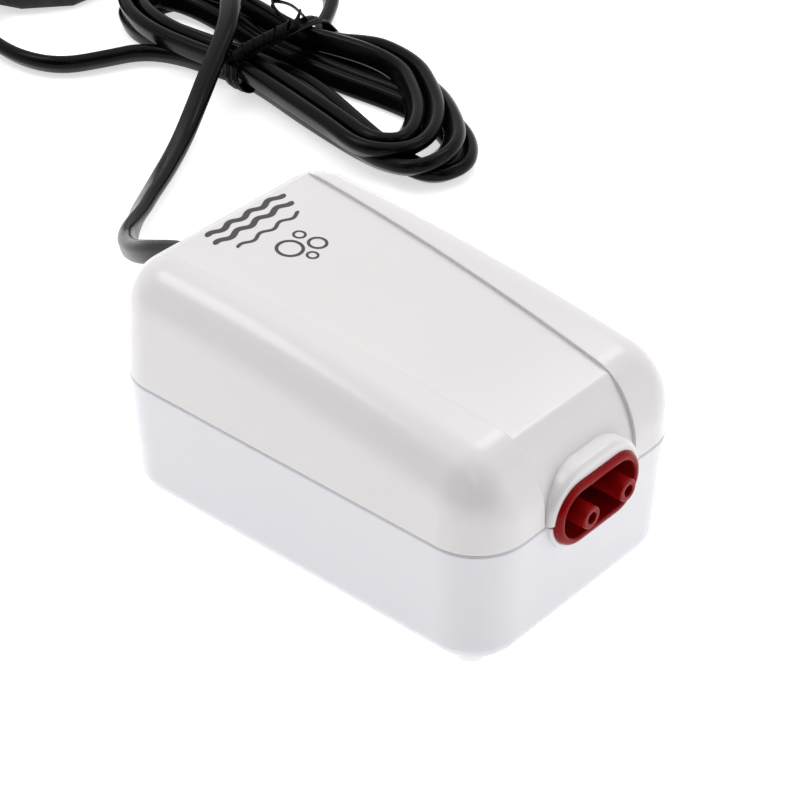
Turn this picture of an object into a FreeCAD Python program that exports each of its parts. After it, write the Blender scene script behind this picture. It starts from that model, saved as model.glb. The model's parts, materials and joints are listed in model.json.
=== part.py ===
import FreeCAD, Part
import math
import os

# Aquarium air pump with two outlets, lying on its rubber feet.
# Millimetres. +Z up, the outlets point to -Y, the mains cord leaves at +Y.
# The origin is on the floor, under the middle of the pump from its back wall to its nipple tips.

V = FreeCAD.Vector
X_AXIS = V(1, 0, 0)
Z_AXIS = V(0, 0, 1)
SIDES = {"left": -1, "right": 1}

# Driving dimensions of the case
CASE_LENGTH = 108.0
CASE_WIDTH = 69.1
WALL = 2.2
FLOOR_WALL = 2.4
FOOT_HEIGHT = 1.2
LOWER_DEPTH = 30.4
CORNER_RADIUS = 12.8
BOTTOM_ROUND = 5.5
SHOULDER_ROUND = 10.8
LOWER_DRAFT = 1.75
UPPER_DRAFT_SLOPE = 0.06
NIPPLE_REACH = 5.0

# Crown of the upper shell: heights above the case's bottom at its front, middle and back
CROWN_FRONT = 47.95
CROWN_MIDDLE = 55.7
CROWN_BACK = 58.5
NOSE_RADIUS = 21.6
NOSE_LIFT = 32.4
BROW_RADIUS = 13.0
STRIP_BROW_RADIUS = 2.5

# Sunken strip along the crown
STRIP_DEPTH = 0.8
STRIP_HALF_FRONT = 15.1
STRIP_HALF_BACK = 23.5

# Seam between the shells
SEAM_CHAMFER = 0.45
TONGUE_HEIGHT = 2.0
TONGUE_THICK = 0.9

# Outlet block
OUTLET_HALF_GAP = 6.1
FLANGE_STEP = 1.8
FLANGE_THICK = 1.8
COLLAR_RADIUS = 7.5
COLLAR_REACH = 2.6
RECESS_RADIUS = 5.7
RECESS_DEPTH = 11.1
NIPPLE_RADIUS = 2.6
NIPPLE_BORE = 1.4
SPIGOT_RADIUS = 2.25
BOSS_HALF_GAP = 4.2
UPPER_BOSS_RADIUS = 10.8
UPPER_BOSS_REACH = 1.4
LOWER_BOSS_RADIUS = 9.9
LOWER_BOSS_REACH = 1.0

# Case screws, from below in deep wells
SCREW_X = 25.5
SCREW_Y = 44.0
COLUMN_RADIUS = 4.6
WELL_RADIUS = 3.4
WELL_TOP = 24.0
THREAD_RADIUS = 1.45

# Chassis plate on its rubber grommets
PLATE_LOW = 8.0
PLATE_HIGH = 10.4
MOUNT_PLACES = ((-22, -27), (22, -27), (-19.5, 31), (19.5, 31))
FOOT_PLACES = ((-22, -31), (22, -31), (-22, 31), (22, 31))
FOOT_RADIUS = 4.5

# Electromagnet: an H-shaped lamination stack with its coil on the leg, along X
CORE_Y = 14.0
CORE_HALF_HEIGHT = 8.0
LEG_HALF = 6.0
POLE_INNER = 13.0
POLE_OUTER = 19.0
POLE_HALF_LENGTH = 14.0
CORE_SCREW_X = 16.0
CORE_SCREW_PLACES = (3.0, 25.0)
AIR_GAP = 1.6
MAGNET_THICK = 4.0

# Vibrating arms
PIVOT_Y = 35.0
PIN_RADIUS = 1.5
PIVOT_CLEARANCE = 0.05
ARM_INNER = POLE_OUTER + AIR_GAP + MAGNET_THICK
ARM_THICK = 2.0

# Pump units, drums on an axis along X
PUMP_Y = -20.0
DRUM_RADIUS = 14.0
HOUSING_INNER = 2.0
HOUSING_OUTER = 8.5
CHAMBER_OUTER = 13.5
RIM_OUTER = 15.0
RING_OUTER = 16.5
RIM_SCREW_RADIUS = 12.2

# Air filter under the floor
FILTER_Y = 12.0
FILTER_RADIUS = 13.0

# Mains cord: flat, two cores. Its lead leaves the relief, crosses the hank and turns into it.
CORD_EXIT_X = 8.0
RELIEF_LENGTH = 11.0
CORD_THICK = 4.0
CORD_TUBE_RADIUS = 2.6

# Values worked out from the driving dimensions
MID_Y = NIPPLE_REACH / 2
FRONT_Y = MID_Y - CASE_LENGTH / 2
BACK_Y = MID_Y + CASE_LENGTH / 2
SEAM_Z = FOOT_HEIGHT + LOWER_DEPTH
ROOF_Z = 66.0
RIM_Y = FRONT_Y - COLLAR_REACH
TIP_Y = FRONT_Y - NIPPLE_REACH
RECESS_FLOOR_Y = RIM_Y + RECESS_DEPTH


# ---------------------------------------------------------------- small builders

def at(x, y, z):
    """A point given from the middle of the case's length."""
    return V(x, MID_Y + y, z)


def bar(x0, x1, y0, y1, z0, z1):
    """A block between two corners, y counted from the middle of the case."""
    low = at(min(x0, x1), min(y0, y1), min(z0, z1))
    return Part.makeBox(abs(x1 - x0), abs(y1 - y0), abs(z1 - z0), low)


def rod(radius, start, end):
    """A round bar from one point to another."""
    along = end.sub(start)
    return Part.makeCylinder(radius, along.Length, start, along)


def post(radius, x, y, z0, z1):
    return rod(radius, at(x, y, z0), at(x, y, z1))


def fuse(shapes):
    joined = shapes[0]
    for shape in shapes[1:]:
        joined = joined.fuse(shape)
    return joined.removeSplitter()


def cut_all(shape, tools):
    for tool in tools:
        shape = shape.cut(tool)
    return shape


def export(name, shape):
    shape.exportStep("parts/" + name + ".step")
    print(name, "solids", len(shape.Solids), "volume", round(shape.Volume, 1), "valid", shape.isValid())


def group(shapes):
    return Part.makeCompound(shapes)


def round_edges(shape, radius, picked):
    edges = [edge for edge in shape.Edges if picked(edge)]
    return shape.makeFillet(radius, edges)


def rounded_outline(half_x, half_y, radius, z):
    """A closed rounded rectangle in a level plane, round the middle of the case."""
    corners = []
    for sign_x, sign_y, start in ((1, 1, 0), (-1, 1, 90), (-1, -1, 180), (1, -1, 270)):
        centre = at(sign_x * (half_x - radius), sign_y * (half_y - radius), z)
        corners.append([arc_point(centre, radius, start + turn) for turn in (0, 45, 90)])
    edges = []
    for index, corner in enumerate(corners):
        edges.append(Part.Arc(corner[0], corner[1], corner[2]).toShape())
        edges.append(Part.LineSegment(corner[2], corners[(index + 1) % 4][0]).toShape())
    return Part.Wire(edges)


def arc_point(centre, radius, degrees):
    angle = math.radians(degrees)
    return V(centre.x + radius * math.cos(angle), centre.y + radius * math.sin(angle), centre.z)


def obround(half_gap, radius, y0, y1):
    """A bar with round ends, lying along Y at the seam's height and centred on x = 0."""
    left = V(-half_gap, y0, SEAM_Z)
    right = V(half_gap, y0, SEAM_Z)
    up = V(0, 0, radius)
    side = V(radius, 0, 0)
    edges = [
        Part.LineSegment(left.add(up), right.add(up)).toShape(),
        Part.Arc(right.add(up), right.add(side), right.sub(up)).toShape(),
        Part.LineSegment(right.sub(up), left.sub(up)).toShape(),
        Part.Arc(left.sub(up), left.sub(side), left.add(up)).toShape(),
    ]
    return Part.Face(Part.Wire(edges)).extrude(V(0, y1 - y0, 0))


def turned(points, centre, axis):
    """A solid of revolution: points are (distance along the axis, radius)."""
    corners = []
    for along, radius in points:
        corners.append(centre.add(V(axis).multiply(along)).add(V(Z_AXIS).multiply(radius)))
    face = Part.Face(Part.makePolygon(corners + [corners[0]]))
    return face.revolve(centre, axis, 360)


# ---------------------------------------------------------------- case shells

def circle_through(first, middle, last):
    """Centre (y, z) and radius of the circle through three (y, z) points."""
    circle = Part.Arc(V(0, *first), V(0, *middle), V(0, *last)).toShape().Curve
    return circle.Center.y, circle.Center.z, circle.Radius


def crown_circle():
    half = CASE_LENGTH / 2
    heights = (CROWN_FRONT, CROWN_MIDDLE, CROWN_BACK)
    points = [(MID_Y + side * half, FOOT_HEIGHT + height) for side, height in zip((-1, 0, 1), heights)]
    return circle_through(*points)


def side_profile(inset, brow_radius):
    """Side view of the upper shell, pushed across the whole width: nose arc, brow and crown arc."""
    crown_y, crown_z, crown_radius = crown_circle()
    crown_radius -= inset
    nose_y = FRONT_Y + NOSE_RADIUS
    nose_z = FOOT_HEIGHT + NOSE_LIFT
    nose_radius = NOSE_RADIUS - inset
    # The brow arc touches the nose arc and the crown arc from inside.
    reach_nose = nose_radius - brow_radius
    reach_crown = crown_radius - brow_radius
    gap_y = nose_y - crown_y
    gap_z = nose_z - crown_z
    gap = math.hypot(gap_y, gap_z)
    along = (reach_crown ** 2 - reach_nose ** 2 + gap ** 2) / (2 * gap)
    across = math.sqrt(reach_crown ** 2 - along ** 2)
    brow_y = crown_y + (along * gap_y - across * gap_z) / gap
    brow_z = crown_z + (along * gap_z + across * gap_y) / gap
    nose_touch = math.atan2(brow_z - nose_z, brow_y - nose_y)
    crown_touch = math.atan2(brow_z - crown_z, brow_y - crown_y)
    back_y = BACK_Y + 8
    back_angle = math.acos((back_y - crown_y) / crown_radius)

    def on_circle(centre_y, centre_z, radius, angle):
        return V(0, centre_y + radius * math.cos(angle), centre_z + radius * math.sin(angle))

    def arc_between(centre_y, centre_z, radius, start, end):
        angles = [start, (start + end) / 2, end]
        points = [on_circle(centre_y, centre_z, radius, angle) for angle in angles]
        return Part.Arc(*points).toShape()

    nose_arc = arc_between(nose_y, nose_z, nose_radius, math.pi, nose_touch)
    brow_arc = arc_between(brow_y, brow_z, brow_radius, nose_touch, crown_touch)
    crown_arc = arc_between(crown_y, crown_z, crown_radius, crown_touch, back_angle)
    back_top = on_circle(crown_y, crown_z, crown_radius, back_angle)
    low_z = SEAM_Z - 6
    outline = [
        Part.LineSegment(V(0, nose_y - nose_radius, low_z), V(0, nose_y - nose_radius, nose_z)).toShape(),
        nose_arc,
        brow_arc,
        crown_arc,
        Part.LineSegment(back_top, V(0, back_y, low_z)).toShape(),
        Part.LineSegment(V(0, back_y, low_z), V(0, nose_y - nose_radius, low_z)).toShape(),
    ]
    face = Part.Face(Part.Wire(outline))
    face.translate(V(-CASE_WIDTH, 0, 0))
    return face.extrude(V(2 * CASE_WIDTH, 0, 0))


def case_outline(inset, z):
    half_x = CASE_WIDTH / 2 - inset
    half_y = CASE_LENGTH / 2 - inset
    return rounded_outline(half_x, half_y, CORNER_RADIUS - inset, z)


def outline_block(inset, low_z, high_z):
    """An upright block with the case's outline, smaller all round by the inset."""
    return Part.makeLoft([case_outline(inset, low_z), case_outline(inset, high_z)], True, True)


def upper_form(inset, shoulder_round):
    """Outer form of the upper shell, or of its hollow when inset is the wall."""
    top_inset = inset + UPPER_DRAFT_SLOPE * (ROOF_Z - SEAM_Z)
    prism = Part.makeLoft([case_outline(inset, SEAM_Z), case_outline(top_inset, ROOF_Z)], True, True)
    form = prism.common(side_profile(inset, BROW_RADIUS))

    def on_top_edge(edge):
        box = edge.BoundBox
        level_across = box.ZLength < 0.05 and box.YLength < 0.05
        # The level lines across the nose and brow stay, the one at the back is rounded too.
        across_front = level_across and box.YMax < MID_Y
        at_seam = box.ZMax < SEAM_Z + 0.01
        upright = edge.Vertexes[0].Z < SEAM_Z + 0.01 or edge.Vertexes[-1].Z < SEAM_Z + 0.01
        return not (across_front or at_seam or upright)

    return round_edges(form, shoulder_round, on_top_edge)


def lower_form(inset, floor_z, bottom_round):
    bottom_inset = inset + LOWER_DRAFT
    form = Part.makeLoft([case_outline(bottom_inset, floor_z), case_outline(inset, SEAM_Z)], True, True)
    return round_edges(form, bottom_round, lambda edge: edge.BoundBox.ZMax < floor_z + 0.01)


# ---------------------------------------------------------------- case parts

def corner_columns(radius, z0, z1):
    return [post(radius, x * SCREW_X, y * SCREW_Y, z0, z1) for x in (-1, 1) for y in (-1, 1)]


def relief_slot(extra):
    """The hole for the cord relief's neck, half in each shell."""
    half_x = 4.2 + extra
    half_z = 5.5 + extra
    low = V(CORD_EXIT_X - half_x, BACK_Y - 6, SEAM_Z - half_z)
    slot = Part.makeBox(2 * half_x, 12, 2 * half_z, low)
    return round_edges(slot, 2.0, lambda edge: edge.BoundBox.YLength > 11)


def strip_tool():
    """What the sunken strip takes away: all between its two slanting sides above its own floor."""
    front = FRONT_Y - 4
    back = BACK_Y + 4
    slope = (STRIP_HALF_BACK - STRIP_HALF_FRONT) / CASE_LENGTH
    half_front = STRIP_HALF_FRONT - 4 * slope
    half_back = STRIP_HALF_BACK + 4 * slope
    corners = [V(-half_front, front, SEAM_Z - 2), V(half_front, front, SEAM_Z - 2),
               V(half_back, back, SEAM_Z - 2), V(-half_back, back, SEAM_Z - 2)]
    plan = Part.Face(Part.makePolygon(corners + [corners[0]])).extrude(V(0, 0, ROOF_Z))
    return plan.cut(side_profile(STRIP_DEPTH, STRIP_BROW_RADIUS))


def half_space(above):
    """A large block over or under the seam."""
    low_z = SEAM_Z if above else SEAM_Z - 60
    return Part.makeBox(200, 300, 60, V(-100, -150, low_z))


def outlet_boss(radius, reach, round_size, above):
    """Half of the raised ring that holds the outlet block."""
    whole = obround(BOSS_HALF_GAP, radius, FRONT_Y - reach, FRONT_Y + 7)
    whole = round_edges(whole, round_size, lambda edge: edge.BoundBox.YMax < FRONT_Y - reach + 0.01)
    return whole.common(half_space(above))


def seam_groove(above):
    """A thin ring that bevels a shell's outer edge at the seam."""
    step = SEAM_CHAMFER if above else -SEAM_CHAMFER
    outer_low = case_outline(-2.0, SEAM_Z)
    outer_high = case_outline(-2.0, SEAM_Z + step)
    inner_low = case_outline(SEAM_CHAMFER, SEAM_Z)
    inner_high = case_outline(0.0, SEAM_Z + step)
    block = Part.makeLoft([outer_low, outer_high], True, True)
    core = Part.makeLoft([inner_low, inner_high], True, True)
    return block.cut(core)


def upper_shell():
    shell = upper_form(0, SHOULDER_ROUND).cut(strip_tool())
    shell = shell.fuse(outlet_boss(UPPER_BOSS_RADIUS, UPPER_BOSS_REACH, 1.3, True))
    hollow = upper_form(WALL, SHOULDER_ROUND - WALL)
    hollow.translate(V(0, 0, -STRIP_DEPTH))
    hollow = hollow.fuse(outline_block(WALL, SEAM_Z - 2, SEAM_Z))
    columns = fuse(corner_columns(3.8, SEAM_Z, ROOF_Z)).common(upper_form(1.2, SHOULDER_ROUND - 1.2))
    shell = shell.cut(hollow).fuse(columns)
    rebate_edge = WALL - TONGUE_THICK - 0.05
    rebate = outline_block(rebate_edge, SEAM_Z, SEAM_Z + TONGUE_HEIGHT + 0.1)
    rebate = rebate.cut(fuse(corner_columns(3.8, SEAM_Z - 1, ROOF_Z)))
    tools = [
        rebate,
        seam_groove(True),
        obround(OUTLET_HALF_GAP, COLLAR_RADIUS + 0.05, FRONT_Y - 6, FRONT_Y + 6),
        outlet_flange(0.05),
        relief_slot(0.05),
        relief_flange(0.05),
        fuse(corner_columns(THREAD_RADIUS, SEAM_Z - 1, 45.0)),
    ]
    return cut_all(shell, tools).removeSplitter()


def filter_dome():
    return post(FILTER_RADIUS + 1.8, 0, FILTER_Y, FOOT_HEIGHT, 7.6)


def lower_shell():
    shell = lower_form(0, FOOT_HEIGHT, BOTTOM_ROUND)
    shell = shell.fuse(outlet_boss(LOWER_BOSS_RADIUS, LOWER_BOSS_REACH, 0.8, False))
    hollow = lower_form(WALL, FOOT_HEIGHT + FLOOR_WALL, BOTTOM_ROUND - WALL)
    shell = shell.cut(hollow)
    ring = outline_block(WALL - TONGUE_THICK, SEAM_Z - 3, SEAM_Z + TONGUE_HEIGHT)
    ring = ring.cut(outline_block(WALL, SEAM_Z - 4, SEAM_Z + TONGUE_HEIGHT + 1))
    ring = ring.cut(fuse(corner_columns(4.2, SEAM_Z - 8, SEAM_Z + 9)))
    columns = fuse(corner_columns(COLUMN_RADIUS, FOOT_HEIGHT, SEAM_Z))
    columns = columns.common(lower_form(0.6, FOOT_HEIGHT, BOTTOM_ROUND))
    seats = [post(FOOT_RADIUS, x, y, FOOT_HEIGHT + 1, 5.6) for x, y in MOUNT_PLACES]
    shell = fuse([shell, ring, columns, filter_dome()] + seats)
    vents = [post(1.2, 6 * math.cos(turn), FILTER_Y + 6 * math.sin(turn), 5.0, 9.0)
             for turn in (0.4 + index * math.pi / 3 for index in range(6))]
    tools = [
        seam_groove(False),
        obround(OUTLET_HALF_GAP, COLLAR_RADIUS + 0.05, FRONT_Y - 6, FRONT_Y + 6),
        outlet_flange(0.05),
        relief_slot(0.05),
        relief_flange(0.05),
        fuse(corner_columns(WELL_RADIUS, 0, WELL_TOP)),
        fuse(corner_columns(1.7, WELL_TOP - 1, SEAM_Z + 1)),
        post(FILTER_RADIUS, 0, FILTER_Y, 0, 6.2),
        group(vents),
        group([post(THREAD_RADIUS, x, y, 3.2, 6.0) for x, y in MOUNT_PLACES]),
        group([post(FOOT_RADIUS, x, y, 0, FOOT_HEIGHT + 0.8) for x, y in FOOT_PLACES]),
    ]
    return cut_all(shell, tools).removeSplitter()


def rubber_feet():
    feet = []
    for x, y in FOOT_PLACES:
        foot = post(FOOT_RADIUS - 0.05, x, y, 0, FOOT_HEIGHT + 0.8)
        feet.append(round_edges(foot, 0.5, lambda edge: edge.BoundBox.ZMax < 0.01))
    return group(feet)


def pan_screw(radius, head_radius, head_height, head_top, tip, direction=1):
    """A pan-head screw from its top to its tip, both points."""
    along = tip.sub(head_top).normalize()
    neck = head_top.add(V(along).multiply(head_height))
    head = rod(head_radius, head_top, neck)
    head = round_edges(head, head_height * 0.45, lambda edge: touches(edge, head_top, head_radius))
    screw = head.fuse(rod(radius, neck, tip))
    side = V(0, 0, 1) if abs(along.z) < 0.5 else V(1, 0, 0)
    other = along.cross(side)
    for arm, width in ((side, other), (other, side)):
        screw = screw.cut(cross_slot(head_top, along, arm, width, head_radius, head_height))
    return screw.removeSplitter()


def touches(edge, point, radius):
    middle = edge.CenterOfMass
    return edge.Length > 5.9 * radius and middle.sub(point).Length < 0.01


def cross_slot(top, along, arm, width, head_radius, head_height):
    half_arm = head_radius * 0.62
    half_width = head_radius * 0.13
    low = top.sub(V(arm).multiply(half_arm)).sub(V(width).multiply(half_width))
    low = low.sub(V(along).multiply(0.1))
    first = low.add(V(arm).multiply(2 * half_arm))
    second = first.add(V(width).multiply(2 * half_width))
    third = low.add(V(width).multiply(2 * half_width))
    face = Part.Face(Part.makePolygon([low, first, second, third, low]))
    return face.extrude(V(along).multiply(head_height * 0.55 + 0.1))


def case_screws():
    screws = []
    for x in (-1, 1):
        for y in (-1, 1):
            head_top = at(x * SCREW_X, y * SCREW_Y, WELL_TOP - 2.0)
            tip = at(x * SCREW_X, y * SCREW_Y, 42.0)
            screws.append(pan_screw(THREAD_RADIUS, 2.9, 2.0, head_top, tip))
    return group(screws)


def filter_pad():
    return post(FILTER_RADIUS - 0.05, 0, FILTER_Y, 3.2, 6.2)


def filter_cover():
    cover = post(FILTER_RADIUS - 0.05, 0, FILTER_Y, FOOT_HEIGHT, 3.2)
    slots = []
    for index in range(-3, 4):
        x = 3.0 * index
        half = math.sqrt((FILTER_RADIUS - 2.2) ** 2 - x ** 2)
        slots.append(bar(x - 0.7, x + 0.7, FILTER_Y - half, FILTER_Y - 0.8, 0, 4))
        slots.append(bar(x - 0.7, x + 0.7, FILTER_Y + 0.8, FILTER_Y + half, 0, 4))
    notch = post(2.4, 0, FILTER_Y + FILTER_RADIUS + 0.6, 0, 2.2)
    return cover.cut(group(slots)).cut(notch)


def outlet_flange(extra):
    """The block's inner flange, or with a little extra the slot for it in the shells."""
    front = FRONT_Y + WALL + 0.4
    radius = COLLAR_RADIUS + FLANGE_STEP + extra
    return obround(OUTLET_HALF_GAP, radius, front - extra, front + FLANGE_THICK + extra)


def outlet_block():
    collar = obround(OUTLET_HALF_GAP, COLLAR_RADIUS, RIM_Y, FRONT_Y + 5)
    collar = round_edges(collar, 1.15, lambda edge: edge.BoundBox.YMax < RIM_Y + 0.01)
    flange = outlet_flange(0)
    cup = obround(OUTLET_HALF_GAP, RECESS_RADIUS + 1.2, FRONT_Y + 2, RECESS_FLOOR_Y + 2)
    recess = obround(OUTLET_HALF_GAP, RECESS_RADIUS, RIM_Y - 1, RECESS_FLOOR_Y)
    block = fuse([collar, flange, cup]).cut(recess)
    block = round_edges(block, 0.5, lambda edge: on_recess_mouth(edge))
    pipes = []
    bores = []
    for side in SIDES.values():
        x = side * OUTLET_HALF_GAP
        nipple = rod(NIPPLE_RADIUS, V(x, TIP_Y, SEAM_Z), V(x, RECESS_FLOOR_Y + 1, SEAM_Z))
        pipes.append(round_edges(nipple, 0.35, lambda edge: edge.BoundBox.YMax < TIP_Y + 0.01))
        pipes.append(rod(SPIGOT_RADIUS, V(x, RECESS_FLOOR_Y + 1, SEAM_Z), V(x, RECESS_FLOOR_Y + 7, SEAM_Z)))
        bores.append(rod(NIPPLE_BORE, V(x, TIP_Y - 1, SEAM_Z), V(x, RECESS_FLOOR_Y + 8, SEAM_Z)))
    return fuse([block] + pipes).cut(group(bores))


def on_recess_mouth(edge):
    box = edge.BoundBox
    near_middle = abs(box.ZMax - SEAM_Z) <= RECESS_RADIUS + 0.01
    return box.YMax < RIM_Y + 0.01 and box.ZLength < 2 * RECESS_RADIUS + 0.01 and near_middle


# ---------------------------------------------------------------- chassis and electromagnet

def both(builder):
    """One solid for each side of the pump, as one node."""
    return group([builder(side) for side in SIDES.values()])


def chassis():
    plate = bar(-28, 28, -31, 38, PLATE_LOW, PLATE_HIGH)
    plate = round_edges(plate, 5.0, lambda edge: edge.BoundBox.ZLength > 2)
    core_low = SEAM_Z - CORE_HALF_HEIGHT
    seats = []
    holes = []
    for side in SIDES.values():
        for y in (3, 25):
            seats.append(bar(side * 13.2, side * 18.8, y - 2.7, y + 2.7, PLATE_HIGH, core_low))
            holes.append(post(THREAD_RADIUS, side * 16, CORE_Y + (y - 14), core_low - 9, core_low + 1))
        seats.append(post(4.0, side * (ARM_INNER + ARM_THICK / 2), PIVOT_Y, PLATE_HIGH, 23.9))
        holes.append(post(PIN_RADIUS, side * (ARM_INNER + ARM_THICK / 2), PIVOT_Y, 12, 25))
        holes.append(post(1.6, side * 5, PUMP_Y, 5, 12))
    for x, y in MOUNT_PLACES:
        holes.append(post(1.6, x, y, 5, 12))
    window = post(11, 0, FILTER_Y, 5, 12)
    return fuse([plate] + seats).cut(group(holes)).cut(window)


def chassis_grommets():
    rings = []
    for x, y in MOUNT_PLACES:
        ring = post(FOOT_RADIUS, x, y, 5.6, PLATE_LOW)
        rings.append(ring.cut(post(1.6, x, y, 5, 9)))
    return group(rings)


def chassis_screws():
    screws = []
    for x, y in MOUNT_PLACES:
        screws.append(pan_screw(THREAD_RADIUS, 3.0, 1.8, at(x, y, PLATE_HIGH + 1.8), at(x, y, 3.4)))
    return group(screws)


def core_laminations():
    low = SEAM_Z - CORE_HALF_HEIGHT
    high = SEAM_Z + CORE_HALF_HEIGHT
    leg = bar(-POLE_OUTER, POLE_OUTER, CORE_Y - LEG_HALF, CORE_Y + LEG_HALF, low, high)
    poles = []
    holes = []
    for side in SIDES.values():
        poles.append(bar(side * POLE_INNER, side * POLE_OUTER,
                         CORE_Y - POLE_HALF_LENGTH, CORE_Y + POLE_HALF_LENGTH, low, high))
        for y in CORE_SCREW_PLACES:
            holes.append(post(THREAD_RADIUS + 0.15, side * CORE_SCREW_X, y, low - 1, high + 1))
    return fuse([leg] + poles).cut(group(holes))


def core_screws():
    top = SEAM_Z + CORE_HALF_HEIGHT + 1.8
    screws = []
    for side in SIDES.values():
        for y in CORE_SCREW_PLACES:
            head_top = at(side * CORE_SCREW_X, y, top)
            tip = at(side * CORE_SCREW_X, y, top - 25)
            screws.append(pan_screw(THREAD_RADIUS, 2.8, 1.8, head_top, tip))
    return group(screws)


def coil_ring(half_x, half_y, half_z, hole_y, hole_z, corner):
    """A rounded block along X round the core's leg, with a square hole for what it is wound on."""
    block = bar(-half_x, half_x, CORE_Y - half_y, CORE_Y + half_y, SEAM_Z - half_z, SEAM_Z + half_z)
    block = round_edges(block, corner, lambda edge: edge.BoundBox.XLength > half_x)
    hole = bar(-half_x - 1, half_x + 1, CORE_Y - hole_y, CORE_Y + hole_y, SEAM_Z - hole_z, SEAM_Z + hole_z)
    return block.cut(hole)


LEG_HOLE_Y = LEG_HALF + 0.1
LEG_HOLE_Z = CORE_HALF_HEIGHT + 0.1
TUBE_Y = LEG_HOLE_Y + 1.1
TUBE_Z = LEG_HOLE_Z + 1.1
COIL_HALF_X = 11.6
COIL_HALF_Y = 12.0
COIL_HALF_Z = 13.2


def coil_bobbin():
    tube = coil_ring(COIL_HALF_X + 1.2, TUBE_Y, TUBE_Z, LEG_HOLE_Y, LEG_HOLE_Z, 0.8)
    flange = coil_ring(0.6, 13.5, 15.0, LEG_HOLE_Y, LEG_HOLE_Z, 0.5)
    flanges = [flange.translated(V(side * (COIL_HALF_X + 0.6), 0, 0)) for side in SIDES.values()]
    return fuse([tube] + flanges)


def coil_winding():
    return coil_ring(COIL_HALF_X, COIL_HALF_Y, COIL_HALF_Z, TUBE_Y, TUBE_Z, 3.0)


def coil_tape():
    outer = bar(-9.5, 9.5, CORE_Y - COIL_HALF_Y - 0.35, CORE_Y + COIL_HALF_Y + 0.35,
                SEAM_Z - COIL_HALF_Z - 0.35, SEAM_Z + COIL_HALF_Z + 0.35)
    outer = round_edges(outer, 3.35, lambda edge: edge.BoundBox.XLength > 18)
    inner = bar(-12, 12, CORE_Y - COIL_HALF_Y, CORE_Y + COIL_HALF_Y,
                SEAM_Z - COIL_HALF_Z, SEAM_Z + COIL_HALF_Z)
    inner = round_edges(inner, 3.0, lambda edge: edge.BoundBox.XLength > 18)
    return outer.cut(inner)


SPLICE_Z = SEAM_Z + COIL_HALF_Z + 0.35 + 2.0


def lead_splices():
    return group([rod(2.0, at(x, 10, SPLICE_Z), at(x, 22, SPLICE_Z)) for x in (-5, 5)])


def bent_tube(route, section_radius, bend_radii=None):
    """Straight runs joined by tangent arcs, with a round section swept along them."""
    edges = []
    radii = []
    start = route[0]
    for index in range(1, len(route) - 1):
        before = route[index - 1].sub(route[index])
        after = route[index + 1].sub(route[index])
        half_turn = (math.pi - before.getAngle(after)) / 2
        shorter = min(before.Length, after.Length)
        radius = 0.45 * shorter / math.tan(half_turn)
        radii.append(round(radius, 1))
        reach = 0.45 * shorter
        enter = route[index].add(V(before).normalize().multiply(reach))
        leave = route[index].add(V(after).normalize().multiply(reach))
        halfway = V(before).normalize().add(V(after).normalize()).normalize()
        middle = route[index].add(halfway.multiply(radius / math.cos(half_turn) - radius))
        edges.append(Part.LineSegment(start, enter).toShape())
        edges.append(Part.Arc(enter, middle, leave).toShape())
        start = leave
    edges.append(Part.LineSegment(start, route[-1]).toShape())
    path = Part.Wire(edges)
    ring = Part.Wire([Part.makeCircle(section_radius, route[0], route[1].sub(route[0]))])
    tube = path.makePipeShell([ring], True, True)
    expected = math.pi * section_radius ** 2 * path.Length
    share = round(tube.Volume / expected, 4)
    print("  length", round(path.Length, 1), "radii", radii, "volume share", share)
    return tube


def mains_wires():
    """The two insulated cores inside the case, from the cord relief to the splices."""
    relief_face = BACK_Y - MID_Y - 4.0
    wires = []
    for x_start, x_end in ((CORD_EXIT_X - 1.4, -5), (CORD_EXIT_X + 1.4, 5)):
        route = [at(x_start, relief_face, SEAM_Z), at(x_start, relief_face - 6, SEAM_Z),
                 at(x_end * 0.5 + x_start * 0.5, relief_face - 14, SEAM_Z + 8),
                 at(x_end, 31, SPLICE_Z), at(x_end, 22, SPLICE_Z)]
        wires.append(bent_tube(route, 1.0))
    return group(wires)


# ---------------------------------------------------------------- vibrating arms

def arm(side):
    inner = side * ARM_INNER
    outer = side * (ARM_INNER + ARM_THICK)
    middle = side * (ARM_INNER + ARM_THICK / 2)
    blade = bar(inner, outer, PUMP_Y - 5, PIVOT_Y, SEAM_Z - 6, SEAM_Z + 6)
    tip_y = MID_Y + PUMP_Y - 4.9
    blade = round_edges(blade, 4.0, lambda edge: edge.BoundBox.YMax < tip_y and edge.BoundBox.XLength > 1)
    seat = bar(inner, outer, CORE_Y - 8, CORE_Y + 8, SEAM_Z - 8.5, SEAM_Z + 8.5)
    seat = round_edges(seat, 2.0, lambda edge: edge.BoundBox.XLength > 1)
    barrel = post(3.2, middle, PIVOT_Y, 24.0, 39.0)
    push_boss = rod(3.5, at(side * 20.6, PUMP_Y, SEAM_Z), at(inner, PUMP_Y, SEAM_Z))
    ribs = []
    for z in (SEAM_Z - 4, SEAM_Z + 4):
        ribs.append(bar(outer, outer + side * 1.2, PUMP_Y + 5, CORE_Y - 8, z - 0.6, z + 0.6))
    shape = fuse([blade, seat, barrel, push_boss] + ribs)
    shape = shape.cut(post(PIN_RADIUS + PIVOT_CLEARANCE, middle, PIVOT_Y, 20, 42))
    return shape.cut(rod(1.25, at(side * 18, PUMP_Y, SEAM_Z), at(side * 30, PUMP_Y, SEAM_Z)))


def arm_magnet(side):
    magnet = bar(side * (POLE_OUTER + AIR_GAP), side * ARM_INNER, CORE_Y - 6, CORE_Y + 6,
                 SEAM_Z - 7, SEAM_Z + 7)
    return round_edges(magnet, 0.5, lambda edge: edge.BoundBox.XLength > 1)


def pivot_pins():
    return both(lambda side: post(PIN_RADIUS, side * (ARM_INNER + ARM_THICK / 2), PIVOT_Y, 12, 41.0))


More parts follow.
